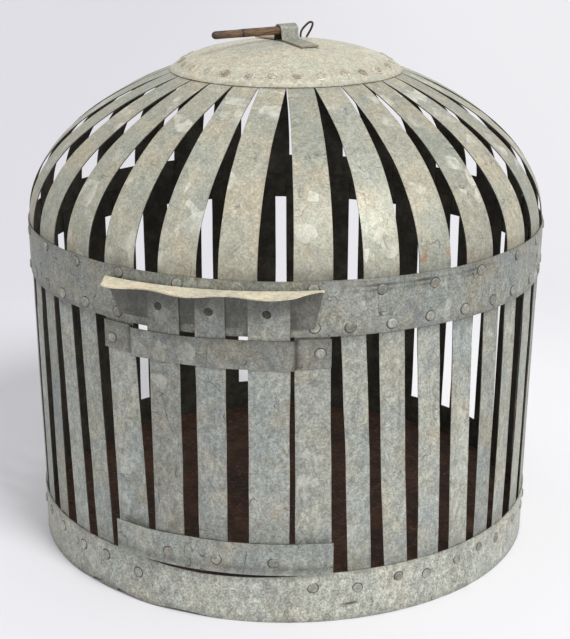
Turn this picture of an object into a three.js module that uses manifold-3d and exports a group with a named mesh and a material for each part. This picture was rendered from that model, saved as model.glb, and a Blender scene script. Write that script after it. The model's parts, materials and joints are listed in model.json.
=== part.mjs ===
// Bingo cage of riveted sheet-metal straps: a slightly tapered wall of upright slats between
// two hoops, a dome of ribs under a round cap, and a slatted door that lifts past the middle hoop.
// Millimetres, +Z up. The origin is on the cage's axis, at the level it stands on.
// Angles about the axis are in degrees: 0 is the front (-Y), and they grow towards +X.
import * as THREE from 'three';
import { mergeVertices } from 'three/addons/utils/BufferGeometryUtils.js';
import Module from 'manifold-3d';

const wasm = await Module();
wasm.setup();

// ---- Sheet, clearances and rivets ----
const SHEET = 0.8;              // thickness of the galvanised sheet
const GAP = 0.3;                // clearance between pieces that touch
const RIVET_RADIUS = 4.1;
const RIVET_HEIGHT = 1.2;       // height of a rivet head above its sheet
const RIVET_FLAT_HEIGHT = 0.8;  // height of the flattened heads that the door passes over
const RIVET_SIDES = 6;
const RIVET_TOP_SHARE = 0.7;    // flat top of a head, as a share of its foot

// ---- Hoops and wall ----
const BELT_DIAMETER = 457;      // over the middle hoop
const FOOT_DIAMETER = 447.2;    // over the bottom hoop
const FOOT_HEIGHT = 44.6;       // height of the bottom hoop's strip
const BELT_BOTTOM = 248.3;      // lower edge of the middle hoop
const BELT_HEIGHT = 45.6;       // height of the middle hoop's strip
const HOOP_SEGMENTS = 84;
const SLAT_WIDTH = 21;
const BACK_SLAT_WIDTH = 28;
const SLAT_END_CLEARANCE = 1.5; // between a slat's foot and the ground
const SLAT_LAP = 20;            // how far a slat runs up behind the middle hoop
// Hand-set slats from each post backwards: angle at the top, and how far the foot stands ahead of it.
const RIGHT_SLATS = [[13.2, 3.2], [21.3, 3.8], [29.6, 3.2], [38.6, 2.9], [47.6, 1.4], [55.4, 0.7],
  [65.5, 0.3], [74.2, 0.2], [82.9, 0], [91.6, 0], [100.3, 0], [108.6, 0]];
const LEFT_SLATS = [[-45.1, 2.9], [-53.4, 3.1], [-61, 1.1], [-69.4, 0.5], [-78.1, 0.2], [-86.9, 0],
  [-95.6, 0], [-104.3, 0]];
const BACK_SLAT_COUNT = 14;
const BACK_SLAT_MIDDLE = 181.4; // angle about which the wider slats of the back are spread
const BACK_SLAT_PITCH = 9.95;
const FOOT_RIVET_Z = 30;
const BELT_RIVET_DROP = 8;      // slat rivets above the middle hoop's lower edge
const FLOOR_TOP = 17;           // upper face of the floor plate
const FLOOR_RIM = 14;           // depth of the floor plate's turned-down rim

// ---- Dome, ribs and cap ----
const CAGE_HEIGHT = 444.2;      // crown of the cap
const CAP_RADIUS = 102.6;
const CAP_RISE = 24;            // crown above the cap's edge
const CAP_SEGMENTS = 42;
const CAP_RIVET_INSET = 10.6;   // rivet circle inside the cap's edge
const DOME_SHOULDER = 0.65;     // fullness of the dome above the middle hoop, 0 to 1
const RIB_COUNT = 28;
const RIB_WIDTH = 32;           // at the middle hoop
const RIB_TOP_CLEARANCE = 1.2;  // between neighbouring ribs where they meet under the cap
const RIB_FIRST = -8.1;
const RIB_TWIST = 1.9;          // how far a rib's top stands past its foot, in degrees
const RIB_LAP = 20;             // how far a rib runs down behind the middle hoop
const RIB_END_INSET = 19;       // rib ends inside the cap's edge
const RIB_RIVET_DROP = 8;       // rib rivets below the middle hoop's upper edge
const RIB_FOOT_SHIFTS = {       // degrees that a rib's foot stands off its even place, by rib
  0: -1, 1: 0.6, 2: 1.2, 3: 0.4, 4: -0.3, 5: 0.3, 11: -1, 12: -3.8, 13: -4, 14: -3, 15: -1.8,
  16: -2.2, 17: -4.5, 18: -5.5, 19: -5.5, 20: -5, 21: -4, 22: -3, 23: -2, 24: -1.1, 25: -0.6,
  26: -1.1, 27: -0.7,
};
const RIBS_PER_FAN = 4;
const FAN_BAND = 6;             // strip under the cap that joins the ribs of a fan

// ---- Door opening and door ----
const LEFT_POST = { top: [-39.2, -32.2], foot: [-37.3, -29] };
const RIGHT_POST = { top: [1.8, 8.7], foot: [2.5, 10.3] };
const DOOR_SLATS = [[-27.5, -20.8], [-17.5, -11.5], [-7.1, 1]];
const DOOR_TOP_RIVETS = [-25.2, -14.7, -3.5];
const DOOR_BAR_RIVETS = [-24.5, -13.9, -2.1];
const DOOR_RUNNING_GAP = 1.5;   // between the middle hoop and the handle plate behind the slats
const DOOR_SLAT_RISE = 2.5;     // the door slats' feet above the bar's lower edge
const HANDLE_RISE = 8.7;        // the handle plate's lower edge above the middle hoop's
const HANDLE_HEIGHT = 28;       // from the plate's lower edge to its lip
const HANDLE_TOP = [-37.6, 7.3]; // angles of the plate's sides at the lip
const HANDLE_FOOT = [-34.7, 5.6];
const HANDLE_OVERLAP = 24.3;    // door slats run this far up over the handle plate
const HANDLE_RIVET_RISE = 11;   // rivets above the plate's lower edge
const LIP_TILT = 3;             // how much higher the lip is at its right end
const LIP_TIP = -34.6;          // angle of the free edge's left end
const LIP_REACH = 18;
const LIP_WAVE = 2;             // how much the lip's free edge waves
const LIP_WAVE_PITCH = 15.2;    // degrees from crest to crest
const LIP_CREST = -1.2;
const LIP_TAPER = 5.5;          // degrees over which the lip runs out at its right end
const LIP_BEND = 2;
const BAR_HEIGHT = 29.2;
const BAR_REST_GAP = 0.4;       // between the closed door's bar and the bottom hoop
const BAR_SPAN = [-37.3, 10];
const BAR_HEM_REACH = 0.6;      // the bar's inward hem stays this far outside the posts
const BAR_RIVET_RISE = 12;      // rivets above the bar's lower edge
const GUIDE_DROP = 25.8;        // the guide's lower edge under the middle hoop's
const GUIDE_HEIGHT = 25;
const GUIDE_SPAN = [-39.4, 9.1];
const GUIDE_RIVETS = [[-37.3, 10.1], [6.9, 12.9]]; // angle, and height above the guide's lower edge
const GUIDE_RUNNING_GAP = 0.4;  // between the door slats and the raised part of the guide
const GUIDE_SIDE_ROOM = [4.1, 0.6]; // degrees from the outer door slats to where the guide steps back
const GUIDE_STEP = 0.8;         // degrees over which the guide steps out over the door slats

// ---- Handle bracket, peg and wire eye ----
const BRACKET_TURN = 32;        // angle of the loop's axis from +X towards +Y
const BRACKET_WIDTH = 17;
const BRACKET_SHEET = 1.2;
const BRACKET_REACH = 38;
const LOOP_CLEARANCE = 0.6;     // between the peg and the inside of the loop
const PEG_RADIUS = 3.7;
const PEG_FRONT = 74;           // tip of the peg from the cage's axis
const PEG_REAR = 10;
const PEG_Z = 453.1 - CAGE_HEIGHT; // peg's axis above the crown
const EYE_WIRE = 1.9;
const EYE_PLACE = [12.5, 22];
const EYE_OUTLINE = [[0, 0], [0.7, 4.6], [4.2, 9.4], [8.2, 12.6], [10.6, 11.6], [9.4, 7], [5.2, 0]];

// ---- Finishes ----
const finish = (color, roughness, metalness) =>
  new THREE.MeshStandardMaterial({ color, roughness, metalness });
const WALL_ZINC = finish(0x93989a, 0.55, 0.6);
const DOME_ZINC = finish(0xa3a295, 0.6, 0.5);
const DOOR_ZINC = finish(0xb0aca0, 0.6, 0.45);
const RUSTY_SHEET = finish(0x4a3a30, 0.8, 0.3);
const OLD_WOOD = finish(0x5a4230, 0.8, 0.05);
const DARK_WIRE = finish(0x3a2c26, 0.7, 0.5);

// ---- Heights and radii that follow from the sizes above ----
const BELT_MIDDLE = BELT_BOTTOM + BELT_HEIGHT / 2;
const BELT_TOP = BELT_BOTTOM + BELT_HEIGHT;
const FOOT_MIDDLE = FOOT_HEIGHT / 2;
const HOOP_STACK = GAP + SHEET;   // from the slats' outer face to a hoop's outer face
const WALL_TAPER = (BELT_DIAMETER - FOOT_DIAMETER) / 2 / (BELT_MIDDLE - FOOT_MIDDLE);
const DOOR_CENTRE = (DOOR_SLATS[0][0] + DOOR_SLATS[2][1]) / 2;
const PLATE_OUT = HOOP_STACK + DOOR_RUNNING_GAP;      // inner face of the handle plate
const DOOR_SLAT_OUT = PLATE_OUT + SHEET + GAP;        // inner face of the door slats
const BAR_OUT = DOOR_SLAT_OUT + SHEET + GAP;          // inner face of the door's bar
const GUIDE_OUT = DOOR_SLAT_OUT + SHEET + GUIDE_RUNNING_GAP;
const GUIDE_BOTTOM = BELT_BOTTOM - GUIDE_DROP;
const HANDLE_BOTTOM = BELT_BOTTOM + HANDLE_RISE;
const BAR_BOTTOM = FOOT_HEIGHT + BAR_REST_GAP;
const DOOR_SLAT_BOTTOM = BAR_BOTTOM + DOOR_SLAT_RISE;

const radians = THREE.MathUtils.degToRad;
const mix = THREE.MathUtils.lerp;

/** Outer face of the wall slats at a height. */
const wallRadius = (z) => FOOT_DIAMETER / 2 - HOOP_STACK + WALL_TAPER * (z - FOOT_MIDDLE);

/** How far the middle of a straight chord lies inside its arc. */
const sag = (width, radius) => width ** 2 / (8 * radius);

/** A point at an angle about the axis, a radius and a height. */
function around(angle, radius, z) {
  return new THREE.Vector3(radius * Math.sin(radians(angle)), -radius * Math.cos(radians(angle)), z);
}

/** A point that lies `out` beyond the slats' outer face. */
const onWall = (angle, z, out) => around(angle, wallRadius(z) + out, z);

/**
 * Bends a flat strip: `place(u, v, w)` puts each point, where u runs across it, v along it
 * and w through its thickness, all from 0 to 1.
 */
function strip(across, along, place) {
  const geometry = new THREE.BoxGeometry(1, 1, 1, across, 1, along);
  const position = geometry.attributes.position;
  for (let i = 0; i < position.count; i += 1) {
    const point = place(position.getX(i) + 0.5, position.getZ(i) + 0.5, 0.5 - position.getY(i));
    position.setXYZ(i, point.x, point.y, point.z);
  }
  return geometry;
}

/** Turns an outline of [radius, height] points about the cage's axis. */
function turned(outline, segments) {
  const points = outline.map(([radius, z]) => new THREE.Vector2(radius, z));
  return new THREE.LatheGeometry(points, segments).rotateX(Math.PI / 2);
}

/** A closed mesh as a solid that can be joined. */
function solid(geometry) {
  const bare = geometry.clone();
  bare.deleteAttribute('normal');
  bare.deleteAttribute('uv');
  const merged = mergeVertices(bare, 1e-4);
  return new wasm.Manifold(new wasm.Mesh({
    numProp: 3,
    vertProperties: new Float32Array(merged.attributes.position.array),
    triVerts: new Uint32Array(merged.index.array),
  }));
}

/** Joins meshes that run into each other to one mesh. */
function joined(geometries) {
  const whole = geometries.map(solid).reduce((sum, piece) => sum.add(piece));
  const mesh = whole.getMesh();
  const geometry = new THREE.BufferGeometry();
  geometry.setAttribute('position', new THREE.BufferAttribute(mesh.vertProperties, 3));
  geometry.setIndex(new THREE.BufferAttribute(mesh.triVerts, 1));
  geometry.computeVertexNormals();
  return geometry;
}

/** A domed rivet head whose foot sits inside the sheet, at a point, facing along `normal`. */
function rivet(point, normal, height) {
  const profile = [
    [0, -SHEET / 2],
    [RIVET_RADIUS, -SHEET / 2],
    [RIVET_RADIUS * RIVET_TOP_SHARE, height],
    [0, height],
  ];
  const head = new THREE.LatheGeometry(profile.map(([r, y]) => new THREE.Vector2(r, y)), RIVET_SIDES);
  const turn = new THREE.Quaternion().setFromUnitVectors(new THREE.Vector3(0, 1, 0), normal);
  return head.applyQuaternion(turn).translate(point.x, point.y, point.z);
}

/** A rivet head on a sheet whose outer face lies `out` beyond the slats. */
function wallRivet(angle, z, out, height = RIVET_HEIGHT) {
  const normal = around(angle, 1, -WALL_TAPER).normalize();
  return rivet(onWall(angle, z, out), normal, height);
}

const cage = new THREE.Group();

/** Adds one named piece to the cage. */
function add(name, geometry, material) {
  const mesh = new THREE.Mesh(geometry, material.clone());
  mesh.name = name;
  cage.add(mesh);
}

const numbered = (stem, index) => `${stem}_${String(index + 1).padStart(2, '0')}`;

// ---- Wall slats and posts ----
const slats = [
  ...RIGHT_SLATS.map(([angle, lean]) => ({ angle, lean, width: SLAT_WIDTH })),
  ...Array.from({ length: BACK_SLAT_COUNT }, (_, i) => ({
    angle: BACK_SLAT_MIDDLE + (i - (BACK_SLAT_COUNT - 1) / 2) * BACK_SLAT_PITCH,
    lean: 0,
    width: BACK_SLAT_WIDTH,
  })),
  ...LEFT_SLATS.map(([angle, lean]) => ({ angle, lean, width: SLAT_WIDTH })).reverse(),
];
const SLAT_TOP = BELT_BOTTOM + SLAT_LAP;

/** An upright slat behind the hoops, between two angles at its top and two at its foot. */
function uprightSlat([topLeft, topRight], [footLeft, footRight], across) {
  return strip(across, 2, (u, v, w) => onWall(
    mix(mix(footLeft, footRight, u), mix(topLeft, topRight, u), v),
    mix(SLAT_END_CLEARANCE, SLAT_TOP, v),
    (w - 1) * SHEET,
  ));
}

slats.forEach(({ angle, lean, width }, i) => {
  const half = THREE.MathUtils.radToDeg(width / 2 / wallRadius(BELT_BOTTOM));
  const foot = angle + lean;
  const steps = Math.ceil(width / SLAT_WIDTH);
  const slat = uprightSlat([angle - half, angle + half], [foot - half, foot + half], steps);
  add(numbered('wall_slat', i), slat, WALL_ZINC);
});
add('left_post', uprightSlat(LEFT_POST.top, LEFT_POST.foot, 2), WALL_ZINC);
add('right_post', uprightSlat(RIGHT_POST.top, RIGHT_POST.foot, 2), WALL_ZINC);

// ---- Hoops ----
/** A hoop around the slats, from one height to another. */
function hoop(bottom, top) {
  const stretch = 1 / Math.cos(Math.PI / HOOP_SEGMENTS);   // keeps the flats clear of the slats
  const inner = (z) => (wallRadius(z) + GAP) * stretch;
  return turned([
    [inner(bottom), bottom],
    [inner(bottom) + SHEET, bottom],
    [inner(top) + SHEET, top],
    [inner(top), top],
    [inner(bottom), bottom],
  ], HOOP_SEGMENTS);
}

const middle = ([low, high]) => (low + high) / 2;
const ribs = Array.from({ length: RIB_COUNT }, (_, i) => ({
  angle: RIB_FIRST + (360 / RIB_COUNT) * i,
  shift: RIB_FOOT_SHIFTS[i] ?? 0,
}));
const footRivetAngles = [
  ...slats.map(({ angle, lean }) => angle + lean),
  middle(LEFT_POST.foot),
  middle(RIGHT_POST.foot),
];
const beltRivetAngles = [...slats.map(({ angle }) => angle), middle(LEFT_POST.top), middle(RIGHT_POST.top)];
const passedByDoor = (angle) => {
  const turnedAngle = THREE.MathUtils.euclideanModulo(angle + 180, 360) - 180;
  return turnedAngle > HANDLE_TOP[0] - 2 && turnedAngle < HANDLE_TOP[1] + 2;
};
const headHeight = (angle) => (passedByDoor(angle) ? RIVET_FLAT_HEIGHT : RIVET_HEIGHT);

add('bottom_hoop', joined([
  hoop(0, FOOT_HEIGHT),
  ...footRivetAngles.map((angle) => wallRivet(angle, FOOT_RIVET_Z, HOOP_STACK)),
]), WALL_ZINC);
add('mid_hoop', joined([
  hoop(BELT_BOTTOM, BELT_TOP),
  ...beltRivetAngles.map((angle) =>
    wallRivet(angle, BELT_BOTTOM + BELT_RIVET_DROP, HOOP_STACK, headHeight(angle))),
  ...ribs.map(({ angle, shift }) => angle + shift).map((angle) =>
    wallRivet(angle, BELT_TOP - RIB_RIVET_DROP, HOOP_STACK, headHeight(angle))),
]), WALL_ZINC);

// ---- Floor plate: a shallow pan whose turned-down rim follows the taper inside the slats ----
const rimRadius = (z) => wallRadius(z) - SHEET - GAP - sag(SLAT_WIDTH, wallRadius(z));
const rimBottom = FLOOR_TOP - FLOOR_RIM;
add('floor_plate', turned([
  [0, FLOOR_TOP - SHEET],
  [rimRadius(FLOOR_TOP) - SHEET, FLOOR_TOP - SHEET],
  [rimRadius(rimBottom) - SHEET, rimBottom],
  [rimRadius(rimBottom), rimBottom],
  [rimRadius(FLOOR_TOP), FLOOR_TOP],
  [0, FLOOR_TOP],
], HOOP_SEGMENTS), RUSTY_SHEET);

// ---- Cap ----
const capCurve = new THREE.CubicBezierCurve(
  new THREE.Vector2(CAP_RADIUS, CAGE_HEIGHT - CAP_RISE),
  new THREE.Vector2(CAP_RADIUS * 0.81, CAGE_HEIGHT - CAP_RISE * 0.3),
  new THREE.Vector2(CAP_RADIUS * 0.445, CAGE_HEIGHT),
  new THREE.Vector2(0, CAGE_HEIGHT),
);

/** A point `depth` under a curve that runs inwards over the dome, `t` of the way along it. */
function under(curve, t, depth) {
  const tangent = curve.getTangent(t);
  return curve.getPoint(t).add(new THREE.Vector2(-tangent.y, tangent.x).multiplyScalar(depth));
}

/** How far along the cap's curve its radius has shrunk to `radius`. */
function capAt(radius) {
  let low = 0;
  let high = 1;
  for (let i = 0; i < 40; i += 1) {
    const half = (low + high) / 2;
    if (capCurve.getPoint(half).x > radius) low = half;
    else high = half;
  }
  return low;
}

// The cap and the ribs under it bend at the same places, so that their flats stay parallel.
const TUCK_STEPS = 2;
const CROWN_STEPS = 4;
const tuckEnd = capAt(CAP_RADIUS - RIB_END_INSET);
const tuckStops = Array.from({ length: TUCK_STEPS + 1 }, (_, i) => (tuckEnd * i) / TUCK_STEPS);
const crownStops = Array.from({ length: CROWN_STEPS }, (_, i) => mix(tuckEnd, 1, (i + 1) / CROWN_STEPS));
const capFace = (depth) => [...tuckStops, ...crownStops].map((t) => {
  const point = under(capCurve, t, depth);
  return [t === 1 ? 0 : point.x, point.y];
});
const capRivet = (angle) => {
  const t = capAt(CAP_RADIUS - CAP_RIVET_INSET);
  const point = capCurve.getPoint(t);
  const slope = capCurve.getTangent(t);
  const normal = around(angle, slope.y, -slope.x).normalize();
  return rivet(around(angle, point.x, point.y), normal, RIVET_HEIGHT);
};
add('cap', joined([
  turned([...capFace(SHEET).reverse(), ...capFace(0)], CAP_SEGMENTS),
  ...ribs.map(({ angle }) => capRivet(angle + RIB_TWIST)),
]), DOME_ZINC);

// ---- Ribs: up behind the middle hoop, over the dome and in under the cap ----
const RIB_OUT = SHEET + GAP;   // depth of the ribs' outer face under the cap's outer face
const domeFoot = new THREE.Vector2(wallRadius(BELT_TOP), BELT_TOP);
const domeHead = under(capCurve, 0, RIB_OUT);
const domeShoulder = new THREE.Vector2(domeFoot.x, mix(domeFoot.y, domeHead.y, DOME_SHOULDER));
const NEAR_HEAD = 0.02;         // share of the way back from the head to the shoulder
const domeCurve = new THREE.CubicBezierCurve(
  domeFoot,
  domeShoulder,
  domeHead.clone().lerp(domeShoulder, NEAR_HEAD),
  domeHead,
);
const RIB_FOOT_Z = BELT_TOP - RIB_LAP;
const DOME_STEPS = 9;

/** A rib's outline: points on its outer face with the direction through its thickness. */
const inwardFrom = (tangent) => new THREE.Vector2(-tangent.y, tangent.x);
const ribOutline = [
  { point: new THREE.Vector2(wallRadius(RIB_FOOT_Z), RIB_FOOT_Z), inward: new THREE.Vector2(-1, 0) },
];
for (let i = 0; i <= DOME_STEPS; i += 1) {
  const t = i / DOME_STEPS;
  ribOutline.push({ point: domeCurve.getPoint(t), inward: inwardFrom(domeCurve.getTangent(t)) });
}
for (const t of tuckStops.slice(1)) {
  ribOutline.push({ point: under(capCurve, t, RIB_OUT), inward: inwardFrom(capCurve.getTangent(t)) });
}

/** Width of a rib where the dome's radius is `radius`. */
function ribWidth(radius) {
  const widest = (2 * Math.PI * radius) / RIB_COUNT - RIB_TOP_CLEARANCE;
  const topWidth = (2 * Math.PI * CAP_RADIUS) / RIB_COUNT - RIB_TOP_CLEARANCE;
  const share = (radius - CAP_RADIUS) / (domeFoot.x - CAP_RADIUS);
  return Math.min(widest, mix(topWidth, RIB_WIDTH, share));
}

function rib({ angle, shift }) {
  const steps = ribOutline.length - 1;
  return strip(1, steps, (u, v, w) => {
    const { point, inward } = ribOutline[Math.round(v * steps)];
    const share = THREE.MathUtils.clamp((domeFoot.x - point.x) / (domeFoot.x - CAP_RADIUS), 0, 1);
    const half = THREE.MathUtils.radToDeg(ribWidth(point.x) / 2 / point.x);
    const place = point.clone().addScaledVector(inward, (1 - w) * SHEET);
    const middleAngle = angle + mix(shift, RIB_TWIST, share);
    return around(middleAngle + mix(-half, half, u), place.x, place.y);
  });
}

/** The strip under the cap that joins the ribs of one fan at their ends. */
function fanBand(firstAngle) {
  const [from, to] = ribOutline.slice(-2);
  const start = 1 - FAN_BAND / from.point.distanceTo(to.point);
  const half = THREE.MathUtils.radToDeg(ribWidth(to.point.x) / 2 / to.point.x);
  const left = firstAngle + RIB_TWIST - half;
  const right = left + 2 * half + ((RIBS_PER_FAN - 1) * 360) / RIB_COUNT;
  return strip(2 * RIBS_PER_FAN, 1, (u, v, w) => {
    const along = mix(start, 1, v);
    const place = from.point.clone().lerp(to.point, along);
    place.addScaledVector(from.inward.clone().lerp(to.inward, along), (1 - w) * SHEET);
    return around(mix(left, right, u), place.x, place.y);
  });
}

for (let fan = 0; fan < RIB_COUNT / RIBS_PER_FAN; fan += 1) {
  const members = ribs.slice(fan * RIBS_PER_FAN, (fan + 1) * RIBS_PER_FAN);
  add(numbered('rib_fan', fan), joined([...members.map(rib), fanBand(members[0].angle)]), DOME_ZINC);
}

// ---- Door: a handle plate with a lip, three slats in front of it and a bar across their feet ----
const SLAT_DOOR_TOP = HANDLE_BOTTOM + HANDLE_OVERLAP;
DOOR_SLATS.forEach(([left, right], i) => {
  const slat = strip(3, 1, (u, v, w) => onWall(
    mix(left, right, u),
    mix(DOOR_SLAT_BOTTOM, SLAT_DOOR_TOP, v),
    DOOR_SLAT_OUT + w * SHEET,
  ));
  const head = wallRivet(DOOR_TOP_RIVETS[i], HANDLE_BOTTOM + HANDLE_RIVET_RISE,
    DOOR_SLAT_OUT + SHEET, RIVET_FLAT_HEIGHT);
  add(numbered('door_slat', i), joined([slat, head]), DOOR_ZINC);
});

/** How far the lip reaches out from the handle plate at an angle. */
function lipReach(angle) {
  const wave = LIP_WAVE * Math.cos(2 * Math.PI * (angle - LIP_CREST) / LIP_WAVE_PITCH);
  const fade = THREE.MathUtils.clamp((HANDLE_TOP[1] - angle) / LIP_TAPER, 0.12, 1);
  return (LIP_REACH + wave) * fade;
}

const LIP_Z = HANDLE_BOTTOM + HANDLE_HEIGHT;
const LIP_BEND_STEPS = 3;
const handlePath = (angle) => {
  const lipZ = LIP_Z + LIP_TILT * (angle - HANDLE_TOP[0]) / (HANDLE_TOP[1] - HANDLE_TOP[0]);
  const path = [{ out: 0, z: HANDLE_BOTTOM, turn: 0 }];
  for (let i = 0; i <= LIP_BEND_STEPS; i += 1) {
    const turn = (Math.PI / 2) * (i / LIP_BEND_STEPS);
    path.push({ out: LIP_BEND * (1 - Math.cos(turn)), z: lipZ - LIP_BEND * (1 - Math.sin(turn)), turn });
  }
  path.push({ out: LIP_BEND + lipReach(angle), z: lipZ, turn: Math.PI / 2 });
  return path;
};
const HANDLE_STEPS = LIP_BEND_STEPS + 2;
add('door_handle_plate', strip(24, HANDLE_STEPS, (u, v, w) => {
  const step = Math.round(v * HANDLE_STEPS);
  const [left, right] = step === 0 ? HANDLE_FOOT : HANDLE_TOP;
  const angle = mix(step === HANDLE_STEPS ? LIP_TIP : left, right, u);
  const { out, z, turn } = handlePath(angle)[step];
  const depth = (1 - w) * SHEET;   // from the outer face, which becomes the lip's underside
  return onWall(angle, z + depth * Math.sin(turn) - SHEET, PLATE_OUT + SHEET + out - depth * Math.cos(turn));
}), DOOR_ZINC);

// The bar's section: a face in front of the slats, and a hem turned in over the hoop's upper edge.
const barFace = strip(18, 1, (u, v, w) => onWall(
  mix(BAR_SPAN[0], BAR_SPAN[1], u),
  mix(BAR_BOTTOM, BAR_BOTTOM + BAR_HEIGHT, v),
  BAR_OUT + w * SHEET,
));
const barHem = strip(18, 1, (u, v, w) => onWall(
  mix(BAR_SPAN[0], BAR_SPAN[1], u),
  BAR_BOTTOM + v * SHEET,
  mix(BAR_HEM_REACH, BAR_OUT + SHEET / 2, w),
));
add('door_bar', joined([
  barFace,
  barHem,
  ...DOOR_BAR_RIVETS.map((angle) => wallRivet(angle, BAR_BOTTOM + BAR_RIVET_RISE, BAR_OUT + SHEET)),
]), DOOR_ZINC);

// ---- Guide strap: its ends lie on the posts and its middle stands out over the door slats ----
const raisedFrom = DOOR_SLATS[0][0] - GUIDE_SIDE_ROOM[0];
const raisedTo = DOOR_SLATS[2][1] + GUIDE_SIDE_ROOM[1];
const spread = (from, to, steps) => Array.from({ length: steps + 1 }, (_, i) => mix(from, to, i / steps));
const guideAngles = [
  ...spread(GUIDE_SPAN[0], raisedFrom - GUIDE_STEP, 4),
  ...spread(raisedFrom, raisedTo, 18),
  ...spread(raisedTo + GUIDE_STEP, GUIDE_SPAN[1], 4),
];
const guideOut = (angle) => (angle < raisedFrom || angle > raisedTo ? GAP : GUIDE_OUT);
const guideSteps = guideAngles.length - 1;
add('guide_strap', joined([
  strip(guideSteps, 1, (u, v, w) => {
    const angle = guideAngles[Math.round(u * guideSteps)];
    return onWall(angle, GUIDE_BOTTOM + v * GUIDE_HEIGHT, guideOut(angle) + w * SHEET);
  }),
  ...GUIDE_RIVETS.map(([angle, rise]) => wallRivet(angle, GUIDE_BOTTOM + rise, HOOP_STACK)),
]), DOOR_ZINC);

// ---- Handle bracket: a strap bent to a loop over the crown, with a foot on each side ----
const pegHeight = CAGE_HEIGHT + PEG_Z;
const bracketMid = PEG_RADIUS + LOOP_CLEARANCE + BRACKET_SHEET / 2;
const footLift = GAP + BRACKET_SHEET / 2;
const LOOP_STEPS = 10;
const FOOT_STEPS = 4;

/** The bracket's middle line on one side, from the foot's end to the loop's spring. */
const bracketFoot = Array.from({ length: FOOT_STEPS + 1 }, (_, i) => {
  const reach = mix(BRACKET_REACH, bracketMid, i / FOOT_STEPS);
  return new THREE.Vector2(reach, capCurve.getPoint(capAt(reach)).y + footLift);
});
const bracketLoop = Array.from({ length: LOOP_STEPS + 1 }, (_, i) => {
  const turn = (Math.PI * i) / LOOP_STEPS;
  return new THREE.Vector2(bracketMid * Math.cos(turn), pegHeight + bracketMid * Math.sin(turn));
});
const bracketLine = [
  ...bracketFoot,
  ...bracketLoop,
  ...bracketFoot.map((point) => new THREE.Vector2(-point.x, point.y)).reverse(),
];

/** The outline of a sheet of one thickness along a middle line. */
function sheetOutline(line, thickness) {
  const side = (sign) => line.map((point, i) => {
    const before = line[Math.max(i - 1, 0)];
    const after = line[Math.min(i + 1, line.length - 1)];
    const into = point.clone().sub(before).normalize();
    const from = after.clone().sub(point).normalize();
    const along = into.clone().add(from).normalize();
    const mitre = Math.max(0.5, into.lengthSq() && from.lengthSq() ? along.dot(from) : 1);
    const normal = new THREE.Vector2(-along.y, along.x);
    return point.clone().addScaledVector(normal, (sign * thickness) / 2 / mitre);
  });
  return new THREE.Shape([...side(1), ...side(-1).reverse()]);
}

const bracket = new THREE.ExtrudeGeometry(sheetOutline(bracketLine, BRACKET_SHEET), {
  depth: BRACKET_WIDTH,
  bevelEnabled: false,
});
// The sheet's outline stands upright across the loop's axis.
bracket.translate(0, 0, -BRACKET_WIDTH / 2).rotateX(Math.PI / 2);
bracket.rotateZ(radians(BRACKET_TURN - 90));
add('handle_bracket', bracket, DOME_ZINC);

const pegLength = PEG_FRONT + PEG_REAR;
const PEG_TIP_STEPS = 4;
const pegTip = Array.from({ length: PEG_TIP_STEPS + 1 }, (_, i) => {
  const turn = (Math.PI / 2) * (i / PEG_TIP_STEPS);
  return new THREE.Vector2(
    i === PEG_TIP_STEPS ? 0 : PEG_RADIUS * Math.cos(turn),
    pegLength - PEG_RADIUS * (1 - Math.sin(turn)),
  );
});
const pegRear = [new THREE.Vector2(0, 0), new THREE.Vector2(PEG_RADIUS, 0)];
const peg = new THREE.LatheGeometry([...pegRear, ...pegTip], 16);
peg.translate(0, -PEG_REAR, 0).rotateZ(radians(90 + BRACKET_TURN)).translate(0, 0, pegHeight);
add('peg', peg, OLD_WOOD);

// ---- Wire eye: an upright hairpin with both feet on the cap, behind the bracket ----
const eyeFootHeight = capCurve.getPoint(capAt(Math.hypot(...EYE_PLACE))).y + GAP + EYE_WIRE / 4;
const eyeLine = new THREE.CatmullRomCurve3(EYE_OUTLINE.map(([x, z]) =>
  new THREE.Vector3(EYE_PLACE[0] + x, EYE_PLACE[1], eyeFootHeight + z)));
const wireSection = new THREE.Shape().absarc(0, 0, EYE_WIRE / 2, 0, 2 * Math.PI);
add('wire_eye', new THREE.ExtrudeGeometry(wireSection, {
  steps: 20,
  curveSegments: 4,
  bevelEnabled: false,
  extrudePath: eyeLine,
}), DARK_WIRE);

export default cage;
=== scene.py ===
"""Looks for a free-standing bingo cage of riveted sheet-metal straps with a lift-up slatted door.

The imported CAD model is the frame. Every piece here is a finer sheet, rivet, rod or wire that stands
for a CAD node and rides on that node's body. Lengths are metres, and angles about the cage's axis
are degrees: 0 is the front (-Y) and they grow towards +X.
"""

import json
import logging
import math
import random
from dataclasses import dataclass, field
from enum import Enum
from typing import Any, Callable, Sequence

import bpy
from mathutils import Matrix, Vector, noise

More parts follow.
